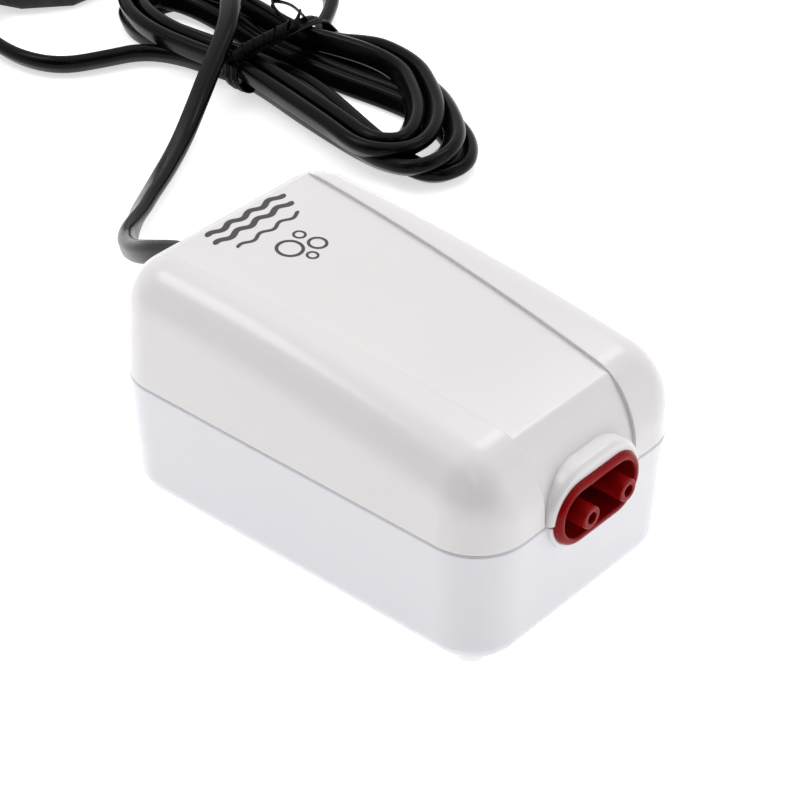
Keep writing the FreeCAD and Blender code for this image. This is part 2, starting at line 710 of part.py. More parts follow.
def pivot_clips():
    def clip(side):
        middle = side * (ARM_INNER + ARM_THICK / 2)
        ring = post(2.9, middle, PIVOT_Y, 39.3, 40.0).cut(post(PIN_RADIUS, middle, PIVOT_Y, 38, 42))
        return ring.cut(bar(middle, middle + side * 4, PIVOT_Y - 0.9, PIVOT_Y + 0.9, 38, 42))
    return both(clip)


# ---------------------------------------------------------------- pump units

def drum(side, radius, near, far):
    return rod(radius, at(side * near, PUMP_Y, SEAM_Z), at(side * far, PUMP_Y, SEAM_Z))


def off_axis(side, radius, near, far, dy, dz=0.0):
    return rod(radius, at(side * near, PUMP_Y + dy, SEAM_Z + dz), at(side * far, PUMP_Y + dy, SEAM_Z + dz))


def rim_places():
    return [(RIM_SCREW_RADIUS * math.cos(turn), RIM_SCREW_RADIUS * math.sin(turn))
            for turn in (math.radians(90 + index * 120) for index in range(3))]


def rim_holes(side, radius, near, far):
    return group([off_axis(side, radius, near, far, dy, dz) for dy, dz in rim_places()])


VALVE_OFFSET = 4.6


def valve_housing(side):
    housing = drum(side, DRUM_RADIUS, HOUSING_INNER, HOUSING_OUTER)
    pedestal = bar(side * HOUSING_INNER, side * HOUSING_OUTER, PUMP_Y - 7, PUMP_Y + 7,
                   PLATE_HIGH, SEAM_Z - 8)
    x = side * OUTLET_HALF_GAP
    spigot = rod(SPIGOT_RADIUS, at(x, PUMP_Y - 12, SEAM_Z), at(x, PUMP_Y - DRUM_RADIUS - 3.5, SEAM_Z))
    tools = [
        off_axis(side, 4.0, 4.0, HOUSING_OUTER + 1, -VALVE_OFFSET),
        off_axis(side, 3.5, 0, HOUSING_OUTER + 1, VALVE_OFFSET),
        rod(NIPPLE_BORE, at(x, PUMP_Y - VALVE_OFFSET, SEAM_Z), at(x, PUMP_Y - 20, SEAM_Z)),
        rim_holes(side, 1.0, 4.5, HOUSING_OUTER + 1),
        post(1.25, side * 5, PUMP_Y, PLATE_HIGH - 1, 18.0),
    ]
    return cut_all(fuse([housing, pedestal, spigot]), tools)


def chamber_body(side):
    body = drum(side, DRUM_RADIUS, HOUSING_OUTER, CHAMBER_OUTER)
    tools = [
        drum(side, 9.6, HOUSING_OUTER + 2, CHAMBER_OUTER + 1),
        off_axis(side, 1.4, HOUSING_OUTER - 1, CHAMBER_OUTER, VALVE_OFFSET),
        off_axis(side, 1.4, HOUSING_OUTER - 1, CHAMBER_OUTER, -VALVE_OFFSET),
        rim_holes(side, 1.0, HOUSING_OUTER - 1, CHAMBER_OUTER + 1),
    ]
    return cut_all(body, tools)


def inlet_flap(side):
    return off_axis(side, 2.6, HOUSING_OUTER + 2, HOUSING_OUTER + 2.5, VALVE_OFFSET)


def outlet_flap(side):
    return off_axis(side, 2.6, HOUSING_OUTER - 0.5, HOUSING_OUTER, -VALVE_OFFSET)


def diaphragm(side):
    """A rubber cup: clamped rim, one soft cone and a thick middle on the arm's boss."""
    profile = [(CHAMBER_OUTER, 14.0), (RIM_OUTER, 14.0), (RIM_OUTER, 9.9), (16.2, 9.6), (19.0, 8.3),
               (20.6, 5.6), (20.6, 1.25), (18.6, 1.25), (18.6, 4.6), (18.0, 6.9), (15.4, 8.3), (CHAMBER_OUTER, 8.6)]
    centre = at(0, PUMP_Y, SEAM_Z)
    cup = turned([(side * along, radius) for along, radius in profile], centre, X_AXIS)
    return cup.cut(rim_holes(side, 1.0, CHAMBER_OUTER - 1, RIM_OUTER + 1))


def clamp_ring(side):
    ring = drum(side, DRUM_RADIUS, RIM_OUTER, RING_OUTER)
    return cut_all(ring, [drum(side, 10.4, 14, 18), rim_holes(side, 1.0, 14, 18)])


def ring_screws():
    screws = []
    for side in SIDES.values():
        for dy, dz in rim_places():
            top = at(side * (RING_OUTER + 1.2), PUMP_Y + dy, SEAM_Z + dz)
            tip = at(side * 5.0, PUMP_Y + dy, SEAM_Z + dz)
            screws.append(pan_screw(1.0, 1.7, 1.2, top, tip))
    return group(screws)


def diaphragm_bolt(side):
    plate = drum(side, 4.4, 17.4, 18.6)
    shank = drum(side, 1.25, 18.0, 29.4)
    return fuse([plate, shank])


def diaphragm_nut(side):
    inner = ARM_INNER + ARM_THICK
    corners = []
    for index in range(7):
        turn = math.radians(60 * index)
        corners.append(at(side * inner, PUMP_Y + 2.9 * math.cos(turn), SEAM_Z + 2.9 * math.sin(turn)))
    nut = Part.Face(Part.makePolygon(corners)).extrude(V(side * 2.0, 0, 0))
    return nut.cut(drum(side, 1.25, inner - 1, inner + 4))


def pump_screws():
    def screw(side):
        head_top = at(side * 5, PUMP_Y, PLATE_LOW - 1.8)
        return pan_screw(1.25, 2.6, 1.8, head_top, at(side * 5, PUMP_Y, 17.0))
    return both(screw)


def air_tube(side):
    """A short soft tube from the pump unit's spigot to the outlet block's."""
    x = side * OUTLET_HALF_GAP
    front = RECESS_FLOOR_Y + 2 - MID_Y
    back = PUMP_Y - DRUM_RADIUS
    tube = rod(3.4, at(x, front, SEAM_Z), at(x, back, SEAM_Z))
    return tube.cut(rod(SPIGOT_RADIUS, at(x, front - 1, SEAM_Z), at(x, back + 1, SEAM_Z)))


# ---------------------------------------------------------------- cord

def relief_section(half_x, half_z, y):
    """An upright rounded rectangle round the cord's exit, in a plane across Y."""
    corner = min(half_x, half_z) * 0.55
    points = []
    for sign_x, sign_z, start in ((1, 1, 0), (-1, 1, 90), (-1, -1, 180), (1, -1, 270)):
        centre = V(CORD_EXIT_X + sign_x * (half_x - corner), y, SEAM_Z + sign_z * (half_z - corner))
        for turn in (0, 45, 90):
            angle = math.radians(start + turn)
            points.append(centre.add(V(corner * math.cos(angle), 0, corner * math.sin(angle))))
    edges = []
    for index in range(4):
        first = 3 * index
        edges.append(Part.Arc(points[first], points[first + 1], points[first + 2]).toShape())
        edges.append(Part.LineSegment(points[first + 2], points[(first + 3) % 12]).toShape())
    return Part.Wire(edges)


def relief_block(half_x, half_z, y0, y1, end_half_x=None, end_half_z=None):
    end = relief_section(end_half_x or half_x, end_half_z or half_z, y1)
    return Part.makeLoft([relief_section(half_x, half_z, y0), end], True, True)


def relief_flange(extra):
    """The relief's inner flange, or with a little extra the slot for it in the shells."""
    return relief_block(6.0 + extra, 7.2 + extra, BACK_Y - 4.0 - extra, BACK_Y - 2.4 + extra)


def strain_relief():
    pieces = [
        relief_flange(0),
        relief_block(4.1, 5.4, BACK_Y - 2.6, BACK_Y + 0.5),
        relief_block(6.0, 7.2, BACK_Y + 0.15, BACK_Y + 1.6),
        relief_block(4.9, 6.2, BACK_Y + 1.4, BACK_Y + RELIEF_LENGTH, 2.9, 4.1),
    ]
    return fuse(pieces)

# The lead droops to the floor, runs to the hank, passes over it beside the tie, loops back on the
# far side and joins it there. The tail leaves from under the hank's near side and ends in the plug.
LEAD_ROUTE = [(8, 67.5, 31.6), (8, 74, 31.6), (11, 83.5, 27.6), (15.5, 94.5, 22), (20, 105, 15.8),
              (27, 115.5, 10.5), (37, 123.5, 7.2), (49.5, 132, 5.2), (64, 140, 4.2), (80, 149, 4.0),
              (93, 156.5, 7.5), (104, 162.5, 12.8), (116, 169.5, 17.2), (129.5, 181, 17.6), (143, 194, 15.2),
              (157, 203.5, 8.0), (171.5, 202.5, 3.8), (179.5, 192, 3.2), (173.5, 178, 3.2), (161, 169.5, 3.1),
              (152, 165.5, 3.3), (149, 155, 4.6), (150, 145, 7.2)]
TAIL_ROUTE = [(117.6, 175, 3.2), (115.5, 187, 3.2), (110.5, 196, 3.2), (100.5, 200.3, 3.2), (89.5, 206, 3.2),
              (85, 216.5, 3.2), (85.5, 229, 3.2), (88.5, 240.5, 3.8), (95, 248, 5.2), (104, 250.5, 6.85)]

# Plan of the hank's outer turns: (y, middle x, half width) from its right end to its left end
HANK_STATIONS = [(78.5, 119.0, 3.0), (83.0, 119.5, 9.0), (89.0, 119.3, 14.2), (97.0, 122.0, 18.6),
                 (106.0, 125.2, 22.0), (120.0, 128.8, 23.2), (137.0, 130.6, 21.6), (150.0, 131.3, 20.4),
                 (163.0, 131.6, 18.2), (178.0, 131.0, 18.6), (192.0, 131.6, 19.6), (206.0, 132.0, 17.2),
                 (215.0, 132.0, 11.8), (222.0, 131.5, 4.0)]
HANK_OPENING = [(106.0, 124.5, 3.5), (118.0, 128.0, 6.0), (132.0, 130.0, 5.5), (146.0, 131.0, 3.0)]
HANK_HEIGHT = 12.0
TIE_Y = 160.5
TIE_HALF_WIDTH = 2.2
TIE_THICK = 0.9
TIE_MIDDLE_X = 132.8
TIE_HALF_SPAN = 22.7
TIE_KNOT_RADIUS = 1.3

PLUG_REAR_X = 104.0
PLUG_Y = 250.5
PLUG_Z = 6.85
PLUG_LENGTH = 37.0
PLUG_HALF_THICK = 6.85
PLUG_PIN_GAP = 9.15
PLUG_PIN_RADIUS = 2.0
PLUG_PIN_LENGTH = 19.0


def soft_outline(points, low_z):
    """A closed level outline whose corners are tangent arcs, as large as the sides allow."""
    count = len(points)
    joints = []
    for index in range(count):
        corner = V(points[index][0], points[index][1], low_z)
        before = V(points[index - 1][0], points[index - 1][1], low_z).sub(corner)
        after = V(points[(index + 1) % count][0], points[(index + 1) % count][1], low_z).sub(corner)
        reach = 0.48 * min(before.Length, after.Length)
        half_turn = (math.pi - before.getAngle(after)) / 2
        radius = reach / math.tan(half_turn)
        halfway = V(before).normalize().add(V(after).normalize()).normalize()
        joints.append((corner.add(V(before).normalize().multiply(reach)),
                       corner.add(halfway.multiply(radius / math.cos(half_turn) - radius)),
                       corner.add(V(after).normalize().multiply(reach))))
    edges = []
    for index, (enter, middle, leave) in enumerate(joints):
        edges.append(Part.Arc(enter, middle, leave).toShape())
        edges.append(Part.LineSegment(leave, joints[(index + 1) % count][0]).toShape())
    return Part.Face(Part.Wire(edges))


def both_sides(stations, extra):
    right = [(middle + half + extra, y) for y, middle, half in stations]
    left = [(middle - half - extra, y) for y, middle, half in reversed(stations)]
    return right + left


def hank_form():
    outer = soft_outline(both_sides(HANK_STATIONS, CORD_THICK / 2), 0).extrude(V(0, 0, HANK_HEIGHT))
    opening = soft_outline(both_sides(HANK_OPENING, 0), -1).extrude(V(0, 0, HANK_HEIGHT + 2))
    return outer.cut(opening)


def tie_box(grow):
    half = TIE_HALF_SPAN + grow
    low = V(TIE_MIDDLE_X - half, TIE_Y - TIE_HALF_WIDTH, TIE_THICK - grow)
    return Part.makeBox(2 * half, 2 * TIE_HALF_WIDTH, HANK_HEIGHT - TIE_THICK + 2 * grow, low)


def cord_tie():
    band = tie_box(TIE_THICK).cut(tie_box(0))
    knot_foot = V(TIE_MIDDLE_X - 6, TIE_Y, HANK_HEIGHT)
    knot = rod(TIE_KNOT_RADIUS, knot_foot, knot_foot.add(V(8, 2, 4.5)))
    return band.fuse(knot.cut(tie_box(TIE_THICK * 0.5))).removeSplitter()


def cord_hank():
    waist = Part.makeBox(80, 2 * TIE_HALF_WIDTH, 40, V(TIE_MIDDLE_X - 40, TIE_Y - TIE_HALF_WIDTH, -10))
    return hank_form().cut(waist.cut(tie_box(0)))


def cord_lead():
    tube = bent_tube([V(*point) for point in LEAD_ROUTE], CORD_TUBE_RADIUS)
    outside = tube.cut(hank_form())
    return max(outside.Solids, key=lambda solid: solid.Volume)


def cord_tail():
    tube = bent_tube([V(*point) for point in TAIL_ROUTE], CORD_TUBE_RADIUS)
    outside = tube.cut(hank_form()).cut(plug_body())
    return max(outside.Solids, key=lambda solid: solid.Volume)


def plug_section(x, half_width, half_height, corner):
    """An upright rounded rectangle in a plane across X."""
    points = []
    for sign_y, sign_z, start in ((1, 1, 0), (-1, 1, 90), (-1, -1, 180), (1, -1, 270)):
        centre = V(x, PLUG_Y + sign_y * (half_width - corner), PLUG_Z + sign_z * (half_height - corner))
        for turn in (0, 45, 90):
            angle = math.radians(start + turn)
            points.append(centre.add(V(0, corner * math.cos(angle), corner * math.sin(angle))))
    edges = []
    for index in range(4):
        first = 3 * index
        edges.append(Part.Arc(points[first], points[first + 1], points[first + 2]).toShape())
        edges.append(Part.LineSegment(points[first + 2], points[(first + 3) % 12]).toShape())
    return Part.Wire(edges)


def plug_body():
    """A flat moulded mains plug: neck, flared shoulders and straight front."""
    stations = [(0.0, 4.2, 4.2, 2.6), (4.0, 8.5, 5.6, 3.0), (17.0, 16.6, PLUG_HALF_THICK, 3.4),
                (PLUG_LENGTH, 17.65, PLUG_HALF_THICK, 3.4)]
    wires = []
    for along, width, height, corner in stations:
        wires.append(plug_section(PLUG_REAR_X + along, width, height, corner))
    body = Part.makeLoft(wires, True, True)
    front_x = PLUG_REAR_X + PLUG_LENGTH
    return round_edges(body, 1.0, lambda edge: edge.BoundBox.XMin > front_x - 0.01)


def plug_pins():
    front = PLUG_REAR_X + PLUG_LENGTH
    pins = []
    for sign in (-1, 1):
        y = PLUG_Y + sign * PLUG_PIN_GAP
        pin = rod(PLUG_PIN_RADIUS, V(front, y, PLUG_Z), V(front + PLUG_PIN_LENGTH, y, PLUG_Z))
        pins.append(round_edges(pin, 1.2, lambda edge: edge.BoundBox.XMin > front + PLUG_PIN_LENGTH - 0.01))
    return group(pins)


def main():
    os.makedirs("parts", exist_ok=True)
    singles = [
        upper_shell,
        lower_shell,
        rubber_feet,
        case_screws,
        filter_pad,
        filter_cover,
        outlet_block,
        chassis,
        chassis_grommets,
        chassis_screws,
        core_laminations,
        core_screws,
        coil_bobbin,
        coil_winding,
        coil_tape,
        lead_splices,
        mains_wires,
        pivot_pins,
        pivot_clips,
        ring_screws,
        pump_screws,
        strain_relief,
        cord_lead,
        cord_hank,
        cord_tail,
        cord_tie,
        plug_body,
        plug_pins,
    ]
    for builder in singles:
        export(builder.__name__, builder())
    pairs = {
        "arm": arm,
        "magnet": arm_magnet,
        "valve_housing": valve_housing,
        "chamber_body": chamber_body,
        "inlet_flap": inlet_flap,
        "outlet_flap": outlet_flap,
        "diaphragm": diaphragm,
        "clamp_ring": clamp_ring,
        "diaphragm_bolt": diaphragm_bolt,
        "diaphragm_nut": diaphragm_nut,
        "air_tube": air_tube,
    }
    for side_name, side in SIDES.items():
        for name, builder in pairs.items():
            export(side_name + "_" + name, builder(side))


main()
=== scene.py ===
"""Visual model of the aquarium air pump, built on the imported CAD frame.

It adds the materials, the flat cord in its hank, the strain relief, the tie, the plug's ribs, the
rubber cups, the print on the case and the studio. Routes, sizes and profiles are in millimetres.
Lengths in materials, and the floor and the places of lights and camera, are in metres.
"""

import json
import math

import bpy
from mathutils import Matrix, Vector
from mathutils.bvhtree import BVHTree


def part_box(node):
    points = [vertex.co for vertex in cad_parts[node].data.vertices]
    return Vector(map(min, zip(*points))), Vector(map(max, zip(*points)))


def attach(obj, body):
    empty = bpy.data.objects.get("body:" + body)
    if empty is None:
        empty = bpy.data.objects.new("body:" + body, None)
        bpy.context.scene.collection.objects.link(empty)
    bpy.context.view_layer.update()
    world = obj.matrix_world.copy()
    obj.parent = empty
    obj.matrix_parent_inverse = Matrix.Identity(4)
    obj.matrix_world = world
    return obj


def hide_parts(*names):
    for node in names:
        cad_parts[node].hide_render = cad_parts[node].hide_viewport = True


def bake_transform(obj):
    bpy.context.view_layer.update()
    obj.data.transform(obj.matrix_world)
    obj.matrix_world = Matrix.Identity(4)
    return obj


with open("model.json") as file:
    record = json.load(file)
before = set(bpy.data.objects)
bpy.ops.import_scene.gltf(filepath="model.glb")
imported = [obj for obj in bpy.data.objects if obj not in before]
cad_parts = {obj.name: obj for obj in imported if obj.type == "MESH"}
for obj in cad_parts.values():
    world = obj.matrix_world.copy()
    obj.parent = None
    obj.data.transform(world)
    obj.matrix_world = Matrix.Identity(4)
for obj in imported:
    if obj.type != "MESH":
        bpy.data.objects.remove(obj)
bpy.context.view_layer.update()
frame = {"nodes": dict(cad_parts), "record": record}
NODES = frame["nodes"]
MM = 0.001

# ---------------------------------------------------------------- sizes, in millimetres

CORD_WIDTH = 6.4
CORD_THICK = 4.0
CORD_CORNER = 1.8
CORD_CORNER_STEPS = 6
# Where the cord comes out of the strain relief's tip, and where its lead starts
CORD_EXIT = (8.0, 67.5, 31.6)

# Route of the free cord, from the case to the hank
LEAD_ROUTE = [(8, 67.5, 31.6), (9.2, 73, 32.0), (13, 81.5, 28.6), (15.5, 94.5, 22), (20, 105, 15.8),
              (27, 115.5, 10.5), (37, 123.5, 7.2), (49.5, 132, 5.2), (64, 140, 4.2), (80, 149, 4.0),
              (93.5, 156.2, 7.5), (105.5, 161.8, 12.8), (118.5, 168, 17.6), (131.5, 179.5, 18.2),
              (144, 193, 15.6), (157, 203.5, 8.0), (171.5, 202.5, 3.8), (179.5, 192, 3.2), (173.5, 178, 3.2),
              (161, 169.5, 3.1), (152, 165.5, 3.3), (149, 155, 4.6), (150, 145, 7.2)]

# Plan of the hank's outer turn in its upper and in its lower layer, round from the far side of its waist
UPPER_LOOP = [(145.5, 163), (148.5, 150), (150.3, 137), (148.3, 123.5), (141.6, 113.4), (133.6, 103.8),
              (123.4, 96.7), (114, 94.3), (107.4, 98), (103.8, 106), (106.8, 119), (110, 134), (113.3, 150),
              (115.2, 163), (113.8, 178), (113.5, 192), (116, 205), (121.5, 215.5), (129.5, 220.5),
              (139, 219), (146, 210), (149.5, 196), (148.3, 179)]
LOWER_LOOP = [(134.5, 163), (134.8, 150), (135.4, 137), (136.6, 125), (136.6, 112), (133.4, 100),
              (127.6, 91.6), (120, 87), (114.6, 88.5), (115.2, 100), (118.5, 114), (122.5, 126),
              (126.6, 138), (128.8, 150), (128.6, 163), (127.6, 178), (127, 192), (127.8, 204), (131.5, 210),
              (136, 208.5), (137.8, 201), (137.4, 190), (136, 177)]

# Each turn: its layer (0 upper, 1 lower), how many cords it lies in from the layer's outer turn
# at the sides, at the right end and at the left end, and its height
HANK_TURNS = [(0, 0.0, 0.0, 0.0, 8.6), (0, 1.2, 1.35, 1.2, 8.6), (1, 0.0, 0.0, 0.0, 3.2),
              (1, -0.85, -0.85, -2.6, 3.2)]
HANK_PITCH = 4.2
# A turn starts to change into the next one after this share of its points
HANK_CHANGE_FROM = 0.62
# So many of the hank's first points are left out, where the lead comes in
HANK_SKIPPED = 2
# Where the hank's sides end and where its ends are full
RIGHT_END_Y = (125, 90)
LEFT_END_Y = (172, 206)

# The last turn lies outside the lower ones and climbs over them at the right end
LAST_TURN = [(144, 162, 3.2), (147.2, 150, 3.2), (149.4, 137, 3.1), (148.6, 124.5, 3.9), (143.8, 112.5, 5.8),
             (135.6, 100.5, 7.3), (126, 90, 8.0), (115.6, 86, 8.0), (106.3, 89, 7.2), (107, 101, 4.6),
             (109.6, 111.5, 3.4), (111.3, 120, 3.2), (114.3, 137, 3.2), (117.7, 152, 3.2),
             (119.3, 163, 3.2), (117.6, 175, 3.2)]
TAIL_ROUTE = [(115.5, 187, 3.1), (110.5, 196, 3.1), (100.5, 200.3, 3.2), (89.5, 206, 3.2), (85, 216.5, 3.2),
              (85.5, 229, 3.2), (88.5, 240.5, 3.8), (95, 248, 5.2), (104, 250.5, 6.85)]

# How the flat cord is turned about its own line, as (distance along it, degrees). Zero is on edge.
LEAD_TWIST = [(0, 0), (10, 0), (22, -15), (40, -25), (62, -10), (84, 50), (105, 62), (150, 66),
              (205, 66)]
# Lean of the hank's strands along its sides and at its right end, from this distance along the cord
HANK_LEAN = -20.0
HANK_END_LEAN = -52.0
HANK_FROM = 270
HANK_LEAN_FADE = 30
# How the tail is turned, with distances counted back from the plug
TAIL_TWIST = [(110, HANK_LEAN), (80, -40), (30, -42), (0, -90)]


# ---------------------------------------------------------------- small helpers

# Edges that turn by more than this many degrees stay sharp
CREASE = 35.0
# Corners of a rounded outline: their side in x and in y, and where the arc of each starts, in degrees
CORNER_TURNS = ((1, 1, 0), (-1, 1, 90), (-1, -1, 180), (1, -1, 270))


def metres(point):
    """A point in millimetres as a vector in metres."""
    return Vector(point) * MM


def smooth_step(share):
    """0 up to 0, 1 from 1, and a soft change between."""
    share = min(max(share, 0.0), 1.0)
    return share * share * (3 - 2 * share)


def link(obj):
    """Puts an object into the scene and hands it back."""
    bpy.context.scene.collection.objects.link(obj)
    return obj


def mesh_object(name, vertices, faces, smooth=True):
    """A new object in the scene from its vertices and faces."""
    mesh = bpy.data.meshes.new(name)
    mesh.from_pydata([tuple(v) for v in vertices], [], faces)
    for polygon in mesh.polygons:
        polygon.use_smooth = smooth
    mesh.update()
    return link(bpy.data.objects.new(name, mesh))


def face_outward(mesh):
    """Turns a closed mesh inside out if its faces look inward."""
    mesh.calc_loop_triangles()
    volume = 0.0
    for triangle in mesh.loop_triangles:
        first, second, third = (mesh.vertices[corner].co for corner in triangle.vertices)
        volume += first.dot(second.cross(third))
    if volume < 0:
        mesh.flip_normals()


def skin(name, rings, crease=CREASE, looped=False):
    """A skin over rings of the same number of points, sharp where it turns by more than the crease.

    Its ends are capped, or joined to each other where it is looped."""
    count = len(rings[0])
    if looped:
        rings = rings + rings[:1]
    vertices = [point for ring in rings for point in ring]
    faces = []
    for ring in range(len(rings) - 1):
        for side in range(count):
            other = (side + 1) % count
            faces.append((ring * count + side, (ring + 1) * count + side, (ring + 1) * count + other,
                          ring * count + other))
    last = (len(rings) - 1) * count
    if looped:
        vertices = vertices[:last]
        faces = [tuple(corner % last for corner in face) for face in faces]
    else:
        faces.append(tuple(range(count)))
        faces.append(tuple(last + side for side in reversed(range(count))))
    piece = mesh_object(name, vertices, faces)
    face_outward(piece.data)
    piece.data.set_sharp_from_angle(angle=math.radians(crease))
    return piece


def join(name, pieces):
    """One object from several, which are used up."""
    vertices = []
    faces = []
    for piece in pieces:
        first = len(vertices)
        vertices += [vertex.co.copy() for vertex in piece.data.vertices]
        faces += [tuple(first + index for index in polygon.vertices) for polygon in piece.data.polygons]
        bpy.data.objects.remove(piece)
    joined = mesh_object(name, vertices, faces)
    joined.data.set_sharp_from_angle(angle=math.radians(CREASE))
    return joined


def rounded_section(half_width, half_height, corner, steps):
    """Outline of a rounded rectangle, with so many points round each corner."""
    outline = []
    for sign_x, sign_y, start in CORNER_TURNS:
        for step in range(steps):
            angle = math.radians(start + 90 * step / (steps - 1))
            outline.append((sign_x * (half_width - corner) + corner * math.cos(angle),
                            sign_y * (half_height - corner) + corner * math.sin(angle)))
    return outline


def distances(points):
    """How far along the line each of its points is."""
    total = [0.0]
    for before, after in zip(points, points[1:]):
        total.append(total[-1] + (after - before).length)
    return total


def spline_points(name, route, steps_per_point=8):
    """Points along one smooth NURBS spline through the route's control points, in metres."""
    curve = bpy.data.curves.new(name, "CURVE")
    curve.dimensions = "3D"
    curve.resolution_u = steps_per_point
    spline = curve.splines.new("NURBS")
    spline.points.add(len(route) - 1)
    for point, place in zip(spline.points, route):
        point.co = (*metres(place), 1.0)
    spline.order_u = 3
    spline.use_endpoint_u = True
    holder = link(bpy.data.objects.new(name, curve))
    mesh = bpy.data.meshes.new_from_object(holder)
    points = [vertex.co.copy() for vertex in mesh.vertices]
    bpy.data.objects.remove(holder)
    bpy.data.curves.remove(curve)
    bpy.data.meshes.remove(mesh)
    return points


# ---------------------------------------------------------------- materials

AXIS_X = 0
AXIS_Z = 2


def new_material(name):
    """An empty material with its node tree and its main shader."""
    material = bpy.data.materials.new(name)
    material.use_nodes = True
    tree = material.node_tree
    return material, tree, tree.nodes["Principled BSDF"]


def noise(tree, scale, detail=2.0):
    """Noise in the object's own space, in cycles per metre."""
    place = tree.nodes.new("ShaderNodeTexCoord")
    texture = tree.nodes.new("ShaderNodeTexNoise")
    texture.inputs["Scale"].default_value = scale
    texture.inputs["Detail"].default_value = detail
    tree.links.new(place.outputs["Object"], texture.inputs["Vector"])
    return texture.outputs["Fac"]


def ramp(tree, value, low, high, from_low=0.3, from_high=0.7):
    """A number that follows a 0 to 1 pattern between two values."""
    node = tree.nodes.new("ShaderNodeMapRange")
    node.inputs["From Min"].default_value = from_low
    node.inputs["From Max"].default_value = from_high
    node.inputs["To Min"].default_value = low
    node.inputs["To Max"].default_value = high
    tree.links.new(value, node.inputs["Value"])
    return node.outputs["Result"]


def two_tone(tree, value, first, second):
    """A colour that a 0 to 1 pattern mixes from two."""
    node = tree.nodes.new("ShaderNodeMix")
    node.data_type = "RGBA"
    node.inputs["A"].default_value = (*first, 1.0)
    node.inputs["B"].default_value = (*second, 1.0)
    tree.links.new(value, node.inputs["Factor"])
    return node.outputs["Result"]


def bump(tree, height, distance):
    """Small relief from a pattern, so many metres deep."""
    node = tree.nodes.new("ShaderNodeBump")
    node.inputs["Distance"].default_value = distance
    node.inputs["Strength"].default_value = 1.0
    tree.links.new(height, node.inputs["Height"])
    return node.outputs["Normal"]


def scaled(color, factor):
    """A lighter or darker colour."""
    return tuple(min(channel * factor, 1.0) for channel in color)


def moulded_plastic(name, color, roughness, grain_depth, grain_scale, tone, spread=0.08, subsurface=0.0,
                    specular=0.5, edge=0.0):
    """Moulded plastic: fine skin texture, slow tone variation, uneven gloss and slightly rounded edges.

    Grain depth and edge radius are in metres. Tone and spread are the ranges of colour and of roughness."""
    material, tree, shader = new_material(name)
    slow = noise(tree, 35.0, 3.0)
    tree.links.new(two_tone(tree, ramp(tree, slow, 0.0, 1.0), scaled(color, 1 - tone), color),
                   shader.inputs["Base Color"])
    patchy = noise(tree, 120.0, 4.0)
    tree.links.new(ramp(tree, patchy, roughness, roughness + spread), shader.inputs["Roughness"])
    grain = noise(tree, grain_scale, 3.0)
    tree.links.new(bump(tree, grain, grain_depth), shader.inputs["Normal"])
    if edge:
        rounding = tree.nodes.new("ShaderNodeBevel")
        rounding.samples = 6
        rounding.inputs["Radius"].default_value = edge
        tree.links.new(rounding.outputs["Normal"], tree.nodes["Bump"].inputs["Normal"])
    shader.inputs["Specular IOR Level"].default_value = specular
    shader.inputs["Subsurface Weight"].default_value = subsurface
    shader.inputs["Subsurface Scale"].default_value = 0.004
    return material


SCRATCH_SCALE = 2500.0
BRUSHED_SCALE = 120.0


def metal(name, color, roughness, brushed_axis=None):
    """Plated or bare metal with fine scratches."""
    material, tree, shader = new_material(name)
    shader.inputs["Metallic"].default_value = 1.0
    slow = noise(tree, 150.0, 4.0)
    tree.links.new(two_tone(tree, ramp(tree, slow, 0.0, 1.0), scaled(color, 0.82), color),
                   shader.inputs["Base Color"])
    place = tree.nodes.new("ShaderNodeTexCoord")
    stretch = tree.nodes.new("ShaderNodeMapping")
    scale = [SCRATCH_SCALE] * 3
    if brushed_axis is not None:
        scale[brushed_axis] = BRUSHED_SCALE
    stretch.inputs["Scale"].default_value = scale
    scratches = tree.nodes.new("ShaderNodeTexNoise")
    scratches.inputs["Scale"].default_value = 1.0
    tree.links.new(place.outputs["Object"], stretch.inputs["Vector"])
    tree.links.new(stretch.outputs["Vector"], scratches.inputs["Vector"])
    scratched = scratches.outputs["Fac"]
    tree.links.new(ramp(tree, scratched, roughness, roughness + 0.2), shader.inputs["Roughness"])
    tree.links.new(bump(tree, scratched, 0.00001), shader.inputs["Normal"])
    return material


def banded(name, color, other, axis, pitch, depth, roughness, metallic):
    """Thin layers or turns side by side along one axis: stacked sheets, or wound wire."""
    material, tree, shader = new_material(name)
    place = tree.nodes.new("ShaderNodeTexCoord")
    split = tree.nodes.new("ShaderNodeSeparateXYZ")
    tree.links.new(place.outputs["Object"], split.inputs["Vector"])
    cycles = tree.nodes.new("ShaderNodeMath")
    cycles.operation = "MULTIPLY"
    cycles.inputs[1].default_value = math.pi / pitch
    tree.links.new(split.outputs[axis], cycles.inputs[0])
    wave = tree.nodes.new("ShaderNodeMath")
    wave.operation = "SINE"
    tree.links.new(cycles.outputs["Value"], wave.inputs[0])
    arch = tree.nodes.new("ShaderNodeMath")
    arch.operation = "ABSOLUTE"
    tree.links.new(wave.outputs["Value"], arch.inputs[0])
    tree.links.new(two_tone(tree, arch.outputs["Value"], other, color), shader.inputs["Base Color"])
    tree.links.new(bump(tree, arch.outputs["Value"], depth), shader.inputs["Normal"])
    tree.links.new(ramp(tree, noise(tree, 300.0), roughness, roughness + 0.15), shader.inputs["Roughness"])
    shader.inputs["Metallic"].default_value = metallic
    return material


